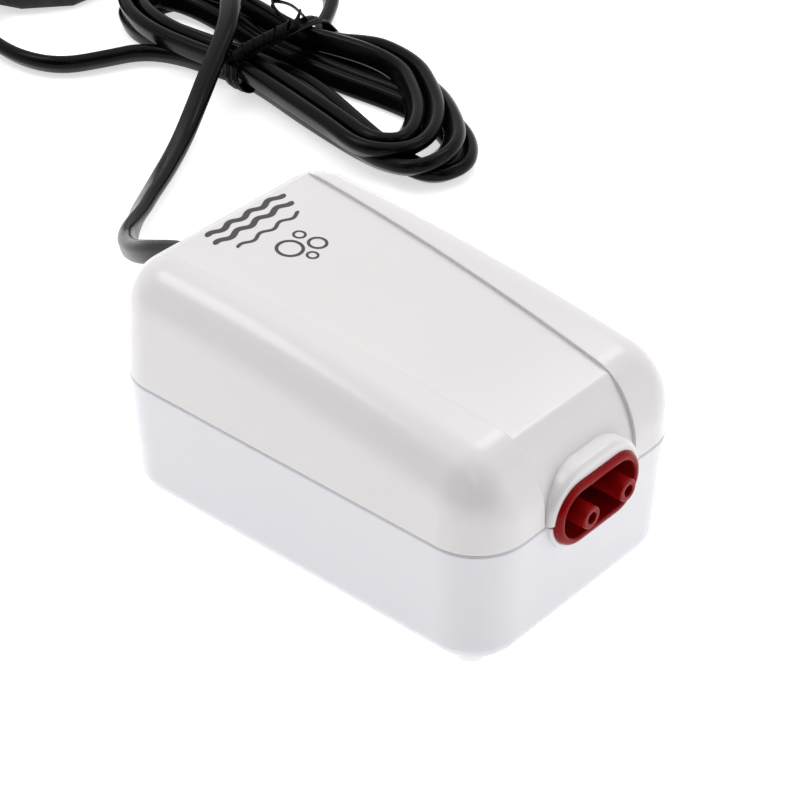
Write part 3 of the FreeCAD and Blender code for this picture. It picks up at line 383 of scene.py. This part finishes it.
def cord_rubber(name, color, roughness, specular=0.1):
    """Black PVC: a dull sheen, fine pebbling and faint dust."""
    material, tree, shader = new_material(name)
    dust = noise(tree, 260.0, 5.0)
    tree.links.new(two_tone(tree, ramp(tree, dust, 0.0, 1.0, 0.35, 0.75), color, scaled(color, 1.45)),
                   shader.inputs["Base Color"])
    patchy = noise(tree, 90.0, 3.0)
    tree.links.new(ramp(tree, patchy, roughness, roughness + 0.12), shader.inputs["Roughness"])
    grain = noise(tree, 1400.0, 3.0)
    tree.links.new(bump(tree, grain, 0.00002), shader.inputs["Normal"])
    shader.inputs["Specular IOR Level"].default_value = specular
    return material


def felt(name, color):
    """Pressed fibres, rough and uneven."""
    material, tree, shader = new_material(name)
    fibres = noise(tree, 2200.0, 6.0)
    tree.links.new(two_tone(tree, fibres, scaled(color, 0.7), color), shader.inputs["Base Color"])
    tree.links.new(bump(tree, fibres, 0.0002), shader.inputs["Normal"])
    shader.inputs["Roughness"].default_value = 0.95
    return material


MATERIALS = {
    "upper_case": moulded_plastic("upper_white", (0.80, 0.774, 0.778), 0.20, grain_depth=0.000006,
                                  grain_scale=700.0, tone=0.012, spread=0.05, edge=0.0005),
    "lower_case": moulded_plastic("lower_white", (0.775, 0.768, 0.812), 0.22, grain_depth=0.000006,
                                  grain_scale=700.0, tone=0.012, spread=0.05, edge=0.0004),
    "outlet_red": moulded_plastic("outlet_red", (0.285, 0.003, 0.004), 0.20, grain_depth=0.00001,
                                  grain_scale=1500.0, tone=0.15, spread=0.12, specular=0.1, edge=0.0004),
    "rubber_black": moulded_plastic("soft_rubber", (0.02, 0.02, 0.02), 0.60, grain_depth=0.00004,
                                    grain_scale=1800.0, tone=0.2),
    "steel": metal("zinc_steel", (0.60, 0.60, 0.58), 0.25),
    "felt": felt("filter_felt", (0.85, 0.85, 0.80)),
    "chassis_grey": moulded_plastic("chassis_plastic", (0.10, 0.10, 0.11), 0.45, grain_depth=0.00004,
                                    grain_scale=1200.0, tone=0.15),
    "core_steel": banded("core_sheets", (0.22, 0.22, 0.23), (0.06, 0.06, 0.06), AXIS_Z, pitch=0.0005,
                         depth=0.00008, roughness=0.35, metallic=0.9),
    "bobbin_plastic": moulded_plastic("natural_nylon", (0.72, 0.68, 0.58), 0.40, grain_depth=0.00002,
                                      grain_scale=1200.0, tone=0.08),
    "copper": banded("copper_wire", (0.62, 0.22, 0.08), (0.20, 0.06, 0.02), AXIS_X, pitch=0.0003,
                     depth=0.00008, roughness=0.25, metallic=1.0),
    "tape": moulded_plastic("yellow_tape", (0.80, 0.52, 0.06), 0.25, grain_depth=0.00003,
                            grain_scale=500.0, tone=0.1),
    "wire_sleeve": moulded_plastic("blue_sleeve", (0.05, 0.16, 0.50), 0.40, grain_depth=0.00002,
                                   grain_scale=1500.0, tone=0.1),
    "arm_plastic": moulded_plastic("arm_nylon", (0.045, 0.045, 0.05), 0.50, grain_depth=0.00005,
                                   grain_scale=1500.0, tone=0.2),
    "ferrite": moulded_plastic("ferrite", (0.05, 0.05, 0.055), 0.55, grain_depth=0.00006,
                               grain_scale=900.0, tone=0.3),
    "pump_plastic": moulded_plastic("off_white_acetal", (0.80, 0.78, 0.72), 0.35, grain_depth=0.00002,
                                    grain_scale=1000.0, tone=0.06),
    "silicone": moulded_plastic("silicone", (0.75, 0.76, 0.74), 0.30, grain_depth=0.00003,
                                grain_scale=800.0, tone=0.06, spread=0.1, subsurface=0.3),
    "cord_black": cord_rubber("cord_pvc", (0.0018, 0.0016, 0.0024), 0.16),
    "tie_black": cord_rubber("tie_plastic", (0.002, 0.002, 0.0024), 0.34, specular=0.05),
    "plug_black": cord_rubber("plug_pvc", (0.03, 0.03, 0.032), 0.50),
    "pin_metal": metal("nickel", (0.70, 0.68, 0.63), 0.18, brushed_axis=AXIS_X),
}


def give_materials():
    """Gives each CAD node the material of its slot in the record."""
    for part in frame["record"]["subparts"]:
        mesh = NODES[part["node"]].data
        mesh.materials.clear()
        mesh.materials.append(MATERIALS[part["material_slot"]])


give_materials()


# ---------------------------------------------------------------- cord

def inward(loop, index, distance):
    """A point of a loop, moved square to it towards its inside."""
    before = Vector(loop[index - 1])
    after = Vector(loop[(index + 1) % len(loop)])
    along = (after - before).normalized()
    return Vector(loop[index]) + Vector((along.y, -along.x)) * distance


def toward_end(y, end):
    """0 along the hank's sides, rising to 1 at one of its ends."""
    return smooth_step((y - end[0]) / (end[1] - end[0]))


def hank_points():
    """The hank's turns, from where the lead comes in to where the last turn begins."""
    count = len(UPPER_LOOP)
    points = []
    for turn, now in enumerate(HANK_TURNS):
        following = HANK_TURNS[min(turn + 1, len(HANK_TURNS) - 1)]
        for index in range(count):
            change = smooth_step((index / count - HANK_CHANGE_FROM) / (1 - HANK_CHANGE_FROM))
            values = [value + (later - value) * change for value, later in zip(now, following)]
            layer, at_sides, at_right, at_left, height = values
            places = []
            for loop in (UPPER_LOOP, LOWER_LOOP):
                right = toward_end(loop[index][1], RIGHT_END_Y)
                left = toward_end(loop[index][1], LEFT_END_Y)
                nest = at_sides + (at_right - at_sides) * right + (at_left - at_sides) * left
                places.append(inward(loop, index, nest * HANK_PITCH))
            place = places[0].lerp(places[1], layer)
            points.append((place.x, place.y, height))
    return points[HANK_SKIPPED:]


def sweep(name, points, outline, twist):
    """A tube along the points. The outline's second axis stays upright, turned by twist(distance, point)."""
    runs = distances(points)
    rings = []
    for index, point in enumerate(points):
        before = points[max(index - 1, 0)]
        after = points[min(index + 1, len(points) - 1)]
        along = (after - before).normalized()
        across = along.cross(Vector((0, 0, 1))).normalized()
        upright = across.cross(along).normalized()
        turn = Matrix.Rotation(twist(runs[index], point), 3, along)
        across = turn @ across
        upright = turn @ upright
        rings.append([point + across * x + upright * y for x, y in outline])
    return skin(name, rings, crease=60.0)


def between(keys, place):
    """A smooth change through (place, value) keys, in rising order."""
    if place <= keys[0][0]:
        return keys[0][1]
    for (start, first), (end, second) in zip(keys, keys[1:]):
        if place <= end:
            return first + (second - first) * smooth_step((place - start) / (end - start))
    return keys[-1][1]


def cord_twist(whole):
    """How far the cord is turned, in radians, at a distance along it and a point."""
    keys = LEAD_TWIST + [(HANK_FROM, HANK_LEAN)]
    keys += [(whole / MM - back, degrees) for back, degrees in TAIL_TWIST]

    def turned(distance, point):
        degrees = between(keys, distance / MM)
        in_hank = smooth_step((distance / MM - HANK_FROM) / HANK_LEAN_FADE)
        at_end = toward_end(point.y / MM, RIGHT_END_Y)
        return math.radians(degrees + (HANK_END_LEAN - HANK_LEAN) * in_hank * at_end)

    return turned


def make_cord():
    """The whole flat cord from the case to the plug, and its middle line."""
    route = LEAD_ROUTE + hank_points() + LAST_TURN + TAIL_ROUTE
    points = spline_points("cord_line", route)
    outline = rounded_section(CORD_THICK / 2 * MM, CORD_WIDTH / 2 * MM, CORD_CORNER * MM, CORD_CORNER_STEPS)
    piece = sweep("flat_cord", points, outline, cord_twist(distances(points)[-1]))
    piece.data.materials.append(MATERIALS["cord_black"])
    return piece, points


# ---------------------------------------------------------------- strain relief, tie and plug

# The relief up to its taper, as (y, half width, half height)
RELIEF_HEAD = [(52.5, 5.7, 6.9), (52.7, 6.0, 7.2), (54.1, 6.0, 7.2), (54.11, 4.1, 5.4), (56.6, 4.1, 5.4),
               (56.61, 5.6, 6.8), (56.9, 6.0, 7.2), (57.6, 6.0, 7.2), (57.85, 5.6, 6.8), (57.9, 4.9, 6.2)]
RELIEF_START = 57.9
RELIEF_GROOVES = 3
RELIEF_GROOVE_PITCH = 2.4
# One groove of the taper, as (distance from its start, depth)
RELIEF_GROOVE = [(1.4, 0.0), (1.65, 0.45), (2.25, 0.45), (2.5, 0.0)]
# Half width and half height where the taper starts, and how much of them it loses
RELIEF_TAPER_START = (4.9, 6.2)
RELIEF_TAPER_LOSS = (2.0, 2.1)
# Its rounded tip, as (distance before the end, half width, half height)
RELIEF_TIP = [(0.4, 2.95, 4.15), (0.1, 2.75, 3.95), (0.0, 2.4, 3.6)]
# Its corner radius, as a share of its half width
RELIEF_ROUNDING = 0.55
RELIEF_CORNER_STEPS = 5


def make_relief():
    """The moulded sleeve round the cord: inner flange, neck in the wall, collar and grooved taper."""
    x, end_y, z = CORD_EXIT
    sizes = list(RELIEF_HEAD)
    for groove in range(RELIEF_GROOVES):
        for along, depth in RELIEF_GROOVE:
            y = RELIEF_START + groove * RELIEF_GROOVE_PITCH + along
            share = (y - RELIEF_START) / (end_y - RELIEF_START)
            half_sizes = [start - loss * share - depth
                          for start, loss in zip(RELIEF_TAPER_START, RELIEF_TAPER_LOSS)]
            sizes.append((y, *half_sizes))
    sizes += [(end_y - before, half_x, half_z) for before, half_x, half_z in RELIEF_TIP]
    rings = []
    for y, half_x, half_z in sizes:
        section = rounded_section(half_x, half_z, RELIEF_ROUNDING * half_x, RELIEF_CORNER_STEPS)
        rings.append([metres((x + across, y, z + up)) for across, up in section])
    relief = skin("cord_relief", rings)
    relief.data.materials.append(MATERIALS["cord_black"])
    return relief


TIE_WIDTH = 3.0
# Half of its top, from the wire in its middle to one edge, as (share of the half width, half thickness)
TIE_HALF_TOP = [(0.0, 0.42), (0.25, 0.3), (0.6, 0.2), (1.0, 0.2)]
TIE_Y = 160.5
# The band goes round twice, so far to each side of its middle
TIE_BAND_OFFSET = 1.25
TIE_TURNS = 2.6
TIE_TWIST_RADIUS = 1.3
# The band's loop round the hank's waist, as (x, height)
TIE_LOOP = [(111.2, 11.0), (110.9, 7.0), (113.6, 2.4), (117.5, 0.55), (132, 0.5), (148, 0.5), (153.6, 1.0),
            (154.4, 4.4), (151.0, 8.6), (147.8, 11.9), (140, 12.5), (126, 12.5), (114.5, 12.6)]
# Middle line of the knot, and its two loose ends with the direction across each of them
TIE_TWIST = [(112.4, 159.6, 13.2), (115, 159.2, 14.6), (121.5, 158.8, 15), (128.5, 158.4, 15),
             (135, 158.2, 15.2)]
TIE_ENDS = [[(134, 158.2, 15.2), (136, 165.5, 16.2), (142, 174, 14.8), (146.5, 171, 13.4),
             (145.5, 165.5, 12.7), (143, 161, 13.0)],
            [(134, 158.2, 15.2), (137.2, 158.6, 16.0), (139.0, 159.4, 17.8)]]
TIE_END_ACROSS = [(0.6, 0.5, -0.6), (1.0, 0.6, 0.2)]


def tie_outline():
    """Across a twist tie: a wire in the middle of a thin strip."""
    top = [(-share, high) for share, high in reversed(TIE_HALF_TOP[1:])] + TIE_HALF_TOP
    upper = [(share * TIE_WIDTH / 2, high) for share, high in top]
    return upper + [(across, -high) for across, high in reversed(upper)]


def ribbon(name, points, width_at):
    """A tie strip along points in metres. width_at(share, along) gives the direction across it."""
    outline = tie_outline()
    rings = []
    for index, point in enumerate(points):
        along = (points[min(index + 1, len(points) - 1)] - points[max(index - 1, 0)]).normalized()
        across = width_at(index / (len(points) - 1), along)
        across = (across - along * across.dot(along)).normalized()
        up = across.cross(along)
        rings.append([point + across * x * MM + up * y * MM for x, y in outline])
    return skin(name, rings, crease=50.0)


def make_tie():
    """The twist tie: a band twice round the hank, its twisted knot and its two loose ends."""
    pieces = []
    for offset in (-TIE_BAND_OFFSET, TIE_BAND_OFFSET):
        route = [(x, TIE_Y + offset, z) for x, z in TIE_LOOP + TIE_LOOP[:2]]
        points = spline_points("tie_line", route)
        pieces.append(ribbon("tie_band", points, lambda share, along: Vector((0, 1, 0))))
    axis = spline_points("tie_line", TIE_TWIST, steps_per_point=16)
    for start in (0.0, math.pi):
        strand = []
        turns = []
        for index, point in enumerate(axis):
            along = (axis[min(index + 1, len(axis) - 1)] - axis[max(index - 1, 0)]).normalized()
            side = along.cross(Vector((0, 0, 1))).normalized()
            angle = start + 2 * math.pi * TIE_TURNS * index / (len(axis) - 1)
            out = side * math.cos(angle) + side.cross(along) * math.sin(angle)
            strand.append(point + out * TIE_TWIST_RADIUS * MM)
            turns.append(along.cross(out))
        pieces.append(ribbon("tie_strand", strand,
                             lambda share, along, turns=turns: turns[round(share * (len(turns) - 1))]))
    for route, lean in zip(TIE_ENDS, TIE_END_ACROSS):
        points = spline_points("tie_line", route)
        pieces.append(ribbon("tie_end", points, lambda share, along, lean=lean: Vector(lean)))
    tie = join("twist_tie", pieces)
    tie.data.materials.append(MATERIALS["tie_black"])
    return tie


# Middle line of the plug, and how far each pin is from it
PLUG_Y = 250.5
PLUG_Z = 6.85
PLUG_PIN_GAP = 9.15
PLUG_RIBS = 5
PLUG_FIRST_RIB_X = 117.0
PLUG_RIB_PITCH = 3.4
PLUG_RIB_HALF_LENGTH = 7.5
PLUG_RIB_GROWTH = 0.9
PLUG_RIB_RADII = (0.8, 0.75)
PLUG_RIB_SINK = 0.35
PLUG_RIB_SIDES = 12
# Where along a rib its rings are, from end to end, and the least share of its section at the ends
RIB_SHARES = (-1.0, -0.97, -0.9, -0.6, 0.0, 0.6, 0.9, 0.97, 1.0)
RIB_LEAST_AREA = 0.02
PIN_SLEEVE_SIDES = 24
# A pin's sleeve, as (distance along X, radius)
PIN_SLEEVE = [(140.9, 2.45), (141.3, 2.35), (146.0, 2.25), (150.4, 2.2), (150.7, 2.08)]


def make_rib(rib, top):
    """One finger rib across the plug's top face, round and thinner towards its ends."""
    x = PLUG_FIRST_RIB_X + rib * PLUG_RIB_PITCH
    half_length = PLUG_RIB_HALF_LENGTH + rib * PLUG_RIB_GROWTH
    across, high = PLUG_RIB_RADII
    turns = [2 * math.pi * step / PLUG_RIB_SIDES for step in range(PLUG_RIB_SIDES)]
    rings = []
    for share in RIB_SHARES:
        size = math.sqrt(max(1.0 - share ** 6, RIB_LEAST_AREA))
        rings.append([metres((x + across * size * math.cos(turn), PLUG_Y + share * half_length,
                              top - PLUG_RIB_SINK + high * size * math.sin(turn))) for turn in turns])
    return skin("plug_rib", rings, crease=60.0)


def make_pin_sleeve(side):
    """The black sleeve at the root of one pin."""
    y = PLUG_Y + side * PLUG_PIN_GAP
    turns = [2 * math.pi * step / PIN_SLEEVE_SIDES for step in range(PIN_SLEEVE_SIDES)]
    rings = []
    for x, radius in PIN_SLEEVE:
        rings.append([metres((x, y + radius * math.cos(turn), PLUG_Z + radius * math.sin(turn)))
                      for turn in turns])
    return skin("pin_sleeve", rings, crease=40.0)


def make_plug_grip():
    """Raised finger ribs on the plug, and the sleeves at the roots of its pins."""
    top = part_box("plug_body")[1][2] / MM
    pieces = [make_rib(rib, top) for rib in range(PLUG_RIBS)]
    pieces += [make_pin_sleeve(side) for side in (-1, 1)]
    grip = join("plug_grip", pieces)
    grip.data.materials.append(MATERIALS["plug_black"])
    return grip


# ---------------------------------------------------------------- diaphragm cups

# Half of a cup's section, round its rim, outer face, middle and inner face: (out along the axis, radius)
CUP_PROFILE = [(13.5, 14.0), (15.0, 14.0), (15.0, 9.9), (16.2, 9.6), (19.0, 8.3), (20.6, 5.6), (20.6, 1.25),
               (18.6, 1.25), (18.6, 4.6), (18.0, 6.9), (15.4, 8.3), (13.5, 8.6), (13.5, 14.0)]
CUP_Y = -17.5
CUP_Z = 31.6
CUP_STEPS = 4
CUP_SIDES = 64
# Two distances out along a cup's axis, from its clamped rim to where the arm holds it; the points made from
# them are not used
CUP_BENDS = (15.2, 18.4)


def make_cup(name, side):
    """The rubber cup of one pump unit, between its clamped rim and its arm."""
    turns = [side * 2 * math.pi * step / CUP_SIDES for step in range(CUP_SIDES)]
    rings = []
    for (start, first), (end, second) in zip(CUP_PROFILE, CUP_PROFILE[1:]):
        for step in range(CUP_STEPS):
            share = step / CUP_STEPS
            along = start + (end - start) * share
            radius = first + (second - first) * share
            rings.append([metres((side * along, CUP_Y + radius * math.cos(turn),
                                  CUP_Z + radius * math.sin(turn))) for turn in turns])
    cup = skin(name + "_cup", rings, crease=40.0, looped=True)
    cup.data.materials.append(MATERIALS["rubber_black"])
    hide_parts(name + "_diaphragm")
    start, end = (metres((side * place, CUP_Y, CUP_Z)) for place in CUP_BENDS)
    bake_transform(cup)


make_cup("left", -1)
make_cup("right", 1)

relief_piece = make_relief()
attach(relief_piece, "pump")
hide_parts("strain_relief")
tie_piece = make_tie()
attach(tie_piece, "pump")
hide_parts("cord_tie")
grip_piece = make_plug_grip()
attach(grip_piece, "pump")

cord_piece, cord_line = make_cord()
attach(cord_piece, "pump")
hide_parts("cord_lead", "cord_hank", "cord_tail")


# ---------------------------------------------------------------- printed mark

# Height from which rays fall on the case, to find where the print lies
ABOVE_CASE = 90
# Half thickness of the print, the step along its lines, and how far its ends are kept from a point
PRINT_LIFT = 0.05
PRINT_STEP = 0.5
PRINT_TIP = 0.05
WAVE_HEIGHT = 0.55
WAVE_LENGTH = 6.2
# Each wave: its y, its left and right ends in x, and the width of its stroke
WAVES = [(46.4, -11.5, 13.0, 1.5), (43.0, -12.5, 12.0, 1.5), (38.6, -10.0, 10.0, 0.9)]
# Each bubble: its middle, its radius and the width of its stroke
BUBBLES = [(-2.2, 30.4, 2.9, 0.8), (3.6, 27.6, 2.0, 0.7), (3.2, 32.6, 1.3, 0.6), (-0.6, 25.2, 1.2, 0.6)]


def wave_line(left, right, y):
    """A wavy line across the strip, in millimetres."""
    count = round((right - left) / PRINT_STEP)
    xs = [left + (right - left) * step / count for step in range(count + 1)]
    return [(x, y + WAVE_HEIGHT * math.sin(2 * math.pi * (x - left) / WAVE_LENGTH)) for x in xs]


def circle_line(x, y, radius, steps=36):
    """A ring on the strip, in millimetres, that ends where it starts."""
    turns = [2 * math.pi * step / steps for step in range(steps + 1)]
    return [(x + radius * math.cos(turn), y + radius * math.sin(turn)) for turn in turns]


def printed_stroke(surface, line, width, closed):
    """A thin slab that follows the surface along a line, with round ends unless it is closed."""
    rings = []
    count = len(line)
    for index, (x, y) in enumerate(line):
        before = line[index - 1] if index else (line[-2] if closed else line[0])
        after = line[index + 1] if index + 1 < count else (line[1] if closed else line[-1])
        along = Vector((after[0] - before[0], after[1] - before[1])).normalized()
        share = 1.0
        if not closed:
            to_end = min(index, count - 1 - index) * PRINT_STEP
            share = math.sqrt(min(1.0, (to_end + PRINT_TIP) / (width / 2)))
        ring = []
        for side, lift in ((-1, PRINT_LIFT), (1, PRINT_LIFT), (1, -PRINT_LIFT), (-1, -PRINT_LIFT)):
            place_x = x - side * along.y * width / 2 * share
            place_y = y + side * along.x * width / 2 * share
            hit = surface.ray_cast(metres((place_x, place_y, ABOVE_CASE)), Vector((0, 0, -1)))[0]
            ring.append(hit + Vector((0, 0, lift * MM)))
        rings.append(ring)
    return skin("stroke", rings)


def make_mark():
    """A generic print of water and bubbles on the strip, near the back."""
    shell = NODES["upper_shell"]
    surface = BVHTree.FromPolygons([vertex.co for vertex in shell.data.vertices],
                                   [tuple(polygon.vertices) for polygon in shell.data.polygons])
    strokes = []
    for y, left, right, width in WAVES:
        strokes.append(printed_stroke(surface, wave_line(left, right, y), width, False))
    for x, y, radius, width in BUBBLES:
        strokes.append(printed_stroke(surface, circle_line(x, y, radius), width, True))
    mark = join("printed_mark", strokes)
    ink = moulded_plastic("print_ink", (0.055, 0.05, 0.055), 0.45, grain_depth=0.000005, grain_scale=2500.0,
                          tone=0.25)
    mark.data.materials.append(ink)
    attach(mark, "pump")


make_mark()


# ---------------------------------------------------------------- floor, light and camera

WHITE = (1.0, 1.0, 1.0, 1.0)
FLOOR_HALF = 2.5
FLOOR_DARKER = (0.81, 0.81, 0.81)
FLOOR_LIGHTER = (0.83, 0.83, 0.83)
FLOOR_ROUGHNESS = 0.6
FLOOR_GLOW = 0.62


def make_floor():
    """A plain white floor that glows a little, so that it comes out as white paper."""
    material, tree, shader = new_material("studio_floor")
    tree.links.new(two_tone(tree, noise(tree, 3.0), FLOOR_DARKER, FLOOR_LIGHTER), shader.inputs["Base Color"])
    shader.inputs["Roughness"].default_value = FLOOR_ROUGHNESS
    shader.inputs["Emission Color"].default_value = WHITE
    shader.inputs["Emission Strength"].default_value = FLOOR_GLOW
    corners = [(-FLOOR_HALF, -FLOOR_HALF, 0), (FLOOR_HALF, -FLOOR_HALF, 0), (FLOOR_HALF, FLOOR_HALF, 0),
               (-FLOOR_HALF, FLOOR_HALF, 0)]
    floor = mesh_object("studio_floor", corners, [(0, 1, 2, 3)], smooth=False)
    floor.data.materials.append(material)


# Each lamp: its name, its place, where it aims, its width and height, and its power in watts
LIGHTS = [("overhead", (0.1, 0.2, 1.0), (0.05, 0.05, 0), (1.1, 1.1), 2.8),
          ("back_top", (-0.24, 0.64, 1.0), (0, 0.08, 0.0), (0.42, 0.42), 1.9),
          ("right_top", (0.74, 0.12, 0.92), (0, 0, 0.03), (0.3, 0.3), 1.0),
          ("key", (-0.43, -0.54, 0.95), (0, 0, 0.03), (0.22, 0.22), 0.4),
          ("front_right", (0.5, -0.7, 0.25), (0, 0, 0.03), (0.5, 0.4), 0.5)]


def make_light(name, place, target, size, power):
    """A rectangular lamp that aims at a point."""
    data = bpy.data.lights.new(name, "AREA")
    data.shape = "RECTANGLE"
    data.size = size[0]
    data.size_y = size[1]
    data.energy = power
    lamp = link(bpy.data.objects.new(name, data))
    lamp.location = place
    aim = Vector(target) - Vector(place)
    lamp.rotation_euler = aim.to_track_quat("-Z", "Y").to_euler()


WORLD_STRENGTH = 0.82
# The dark side of the room: its strength, the direction of its middle, and the angles from that
# direction, in degrees, between which the light comes back
DIM_STRENGTH = 0.0
DIM_TOWARD = (-0.66, -0.52, 0.36)
DIM_REACH = (24, 66)


def make_world():
    """Even white light from all round, dimmer from one side of the room."""
    world = bpy.data.worlds.new("studio")
    world.use_nodes = True
    tree = world.node_tree
    background = tree.nodes["Background"]
    place = tree.nodes.new("ShaderNodeTexCoord")
    toward = tree.nodes.new("ShaderNodeVectorMath")
    toward.operation = "DOT_PRODUCT"
    toward.inputs[1].default_value = Vector(DIM_TOWARD).normalized()
    tree.links.new(place.outputs["Generated"], toward.inputs[0])
    amount = tree.nodes.new("ShaderNodeMapRange")
    amount.interpolation_type = "SMOOTHSTEP"
    amount.inputs["From Min"].default_value = math.cos(math.radians(DIM_REACH[1]))
    amount.inputs["From Max"].default_value = math.cos(math.radians(DIM_REACH[0]))
    amount.inputs["To Min"].default_value = WORLD_STRENGTH
    amount.inputs["To Max"].default_value = DIM_STRENGTH
    tree.links.new(toward.outputs["Value"], amount.inputs["Value"])
    tree.links.new(amount.outputs["Result"], background.inputs["Strength"])
    background.inputs["Color"].default_value = WHITE
    bpy.context.scene.world = world


CAMERA_PLACE = (-0.34896, -0.30166, 0.35957)
CAMERA_AZIMUTH = math.radians(-49.10)
CAMERA_ELEVATION = math.radians(35.45)
CAMERA_ROLL = math.radians(0.33)
# Focal length and sensor width, in millimetres
CAMERA_LENS = 117.9
CAMERA_SENSOR = 36.0


def make_camera():
    """The photo's camera: its place, direction, roll and focal length."""
    data = bpy.data.cameras.new("camera")
    data.lens = CAMERA_LENS
    data.sensor_width = CAMERA_SENSOR
    data.clip_start = 0.01
    data.clip_end = 20.0
    back = Vector((math.sin(CAMERA_AZIMUTH) * math.cos(CAMERA_ELEVATION),
                   -math.cos(CAMERA_AZIMUTH) * math.cos(CAMERA_ELEVATION), math.sin(CAMERA_ELEVATION)))
    right = Vector((math.cos(CAMERA_AZIMUTH), math.sin(CAMERA_AZIMUTH), 0))
    up = back.cross(right)
    rolled_right = math.cos(CAMERA_ROLL) * right + math.sin(CAMERA_ROLL) * up
    rolled_up = -math.sin(CAMERA_ROLL) * right + math.cos(CAMERA_ROLL) * up
    turn = Matrix((rolled_right, rolled_up, back)).transposed().to_4x4()
    camera = link(bpy.data.objects.new("camera", data))
    camera.matrix_world = Matrix.Translation(CAMERA_PLACE) @ turn
    bpy.context.scene.camera = camera


make_floor()
make_world()
for light in LIGHTS:
    make_light(*light)
make_camera()
bpy.context.scene.view_settings.view_transform = "Standard"
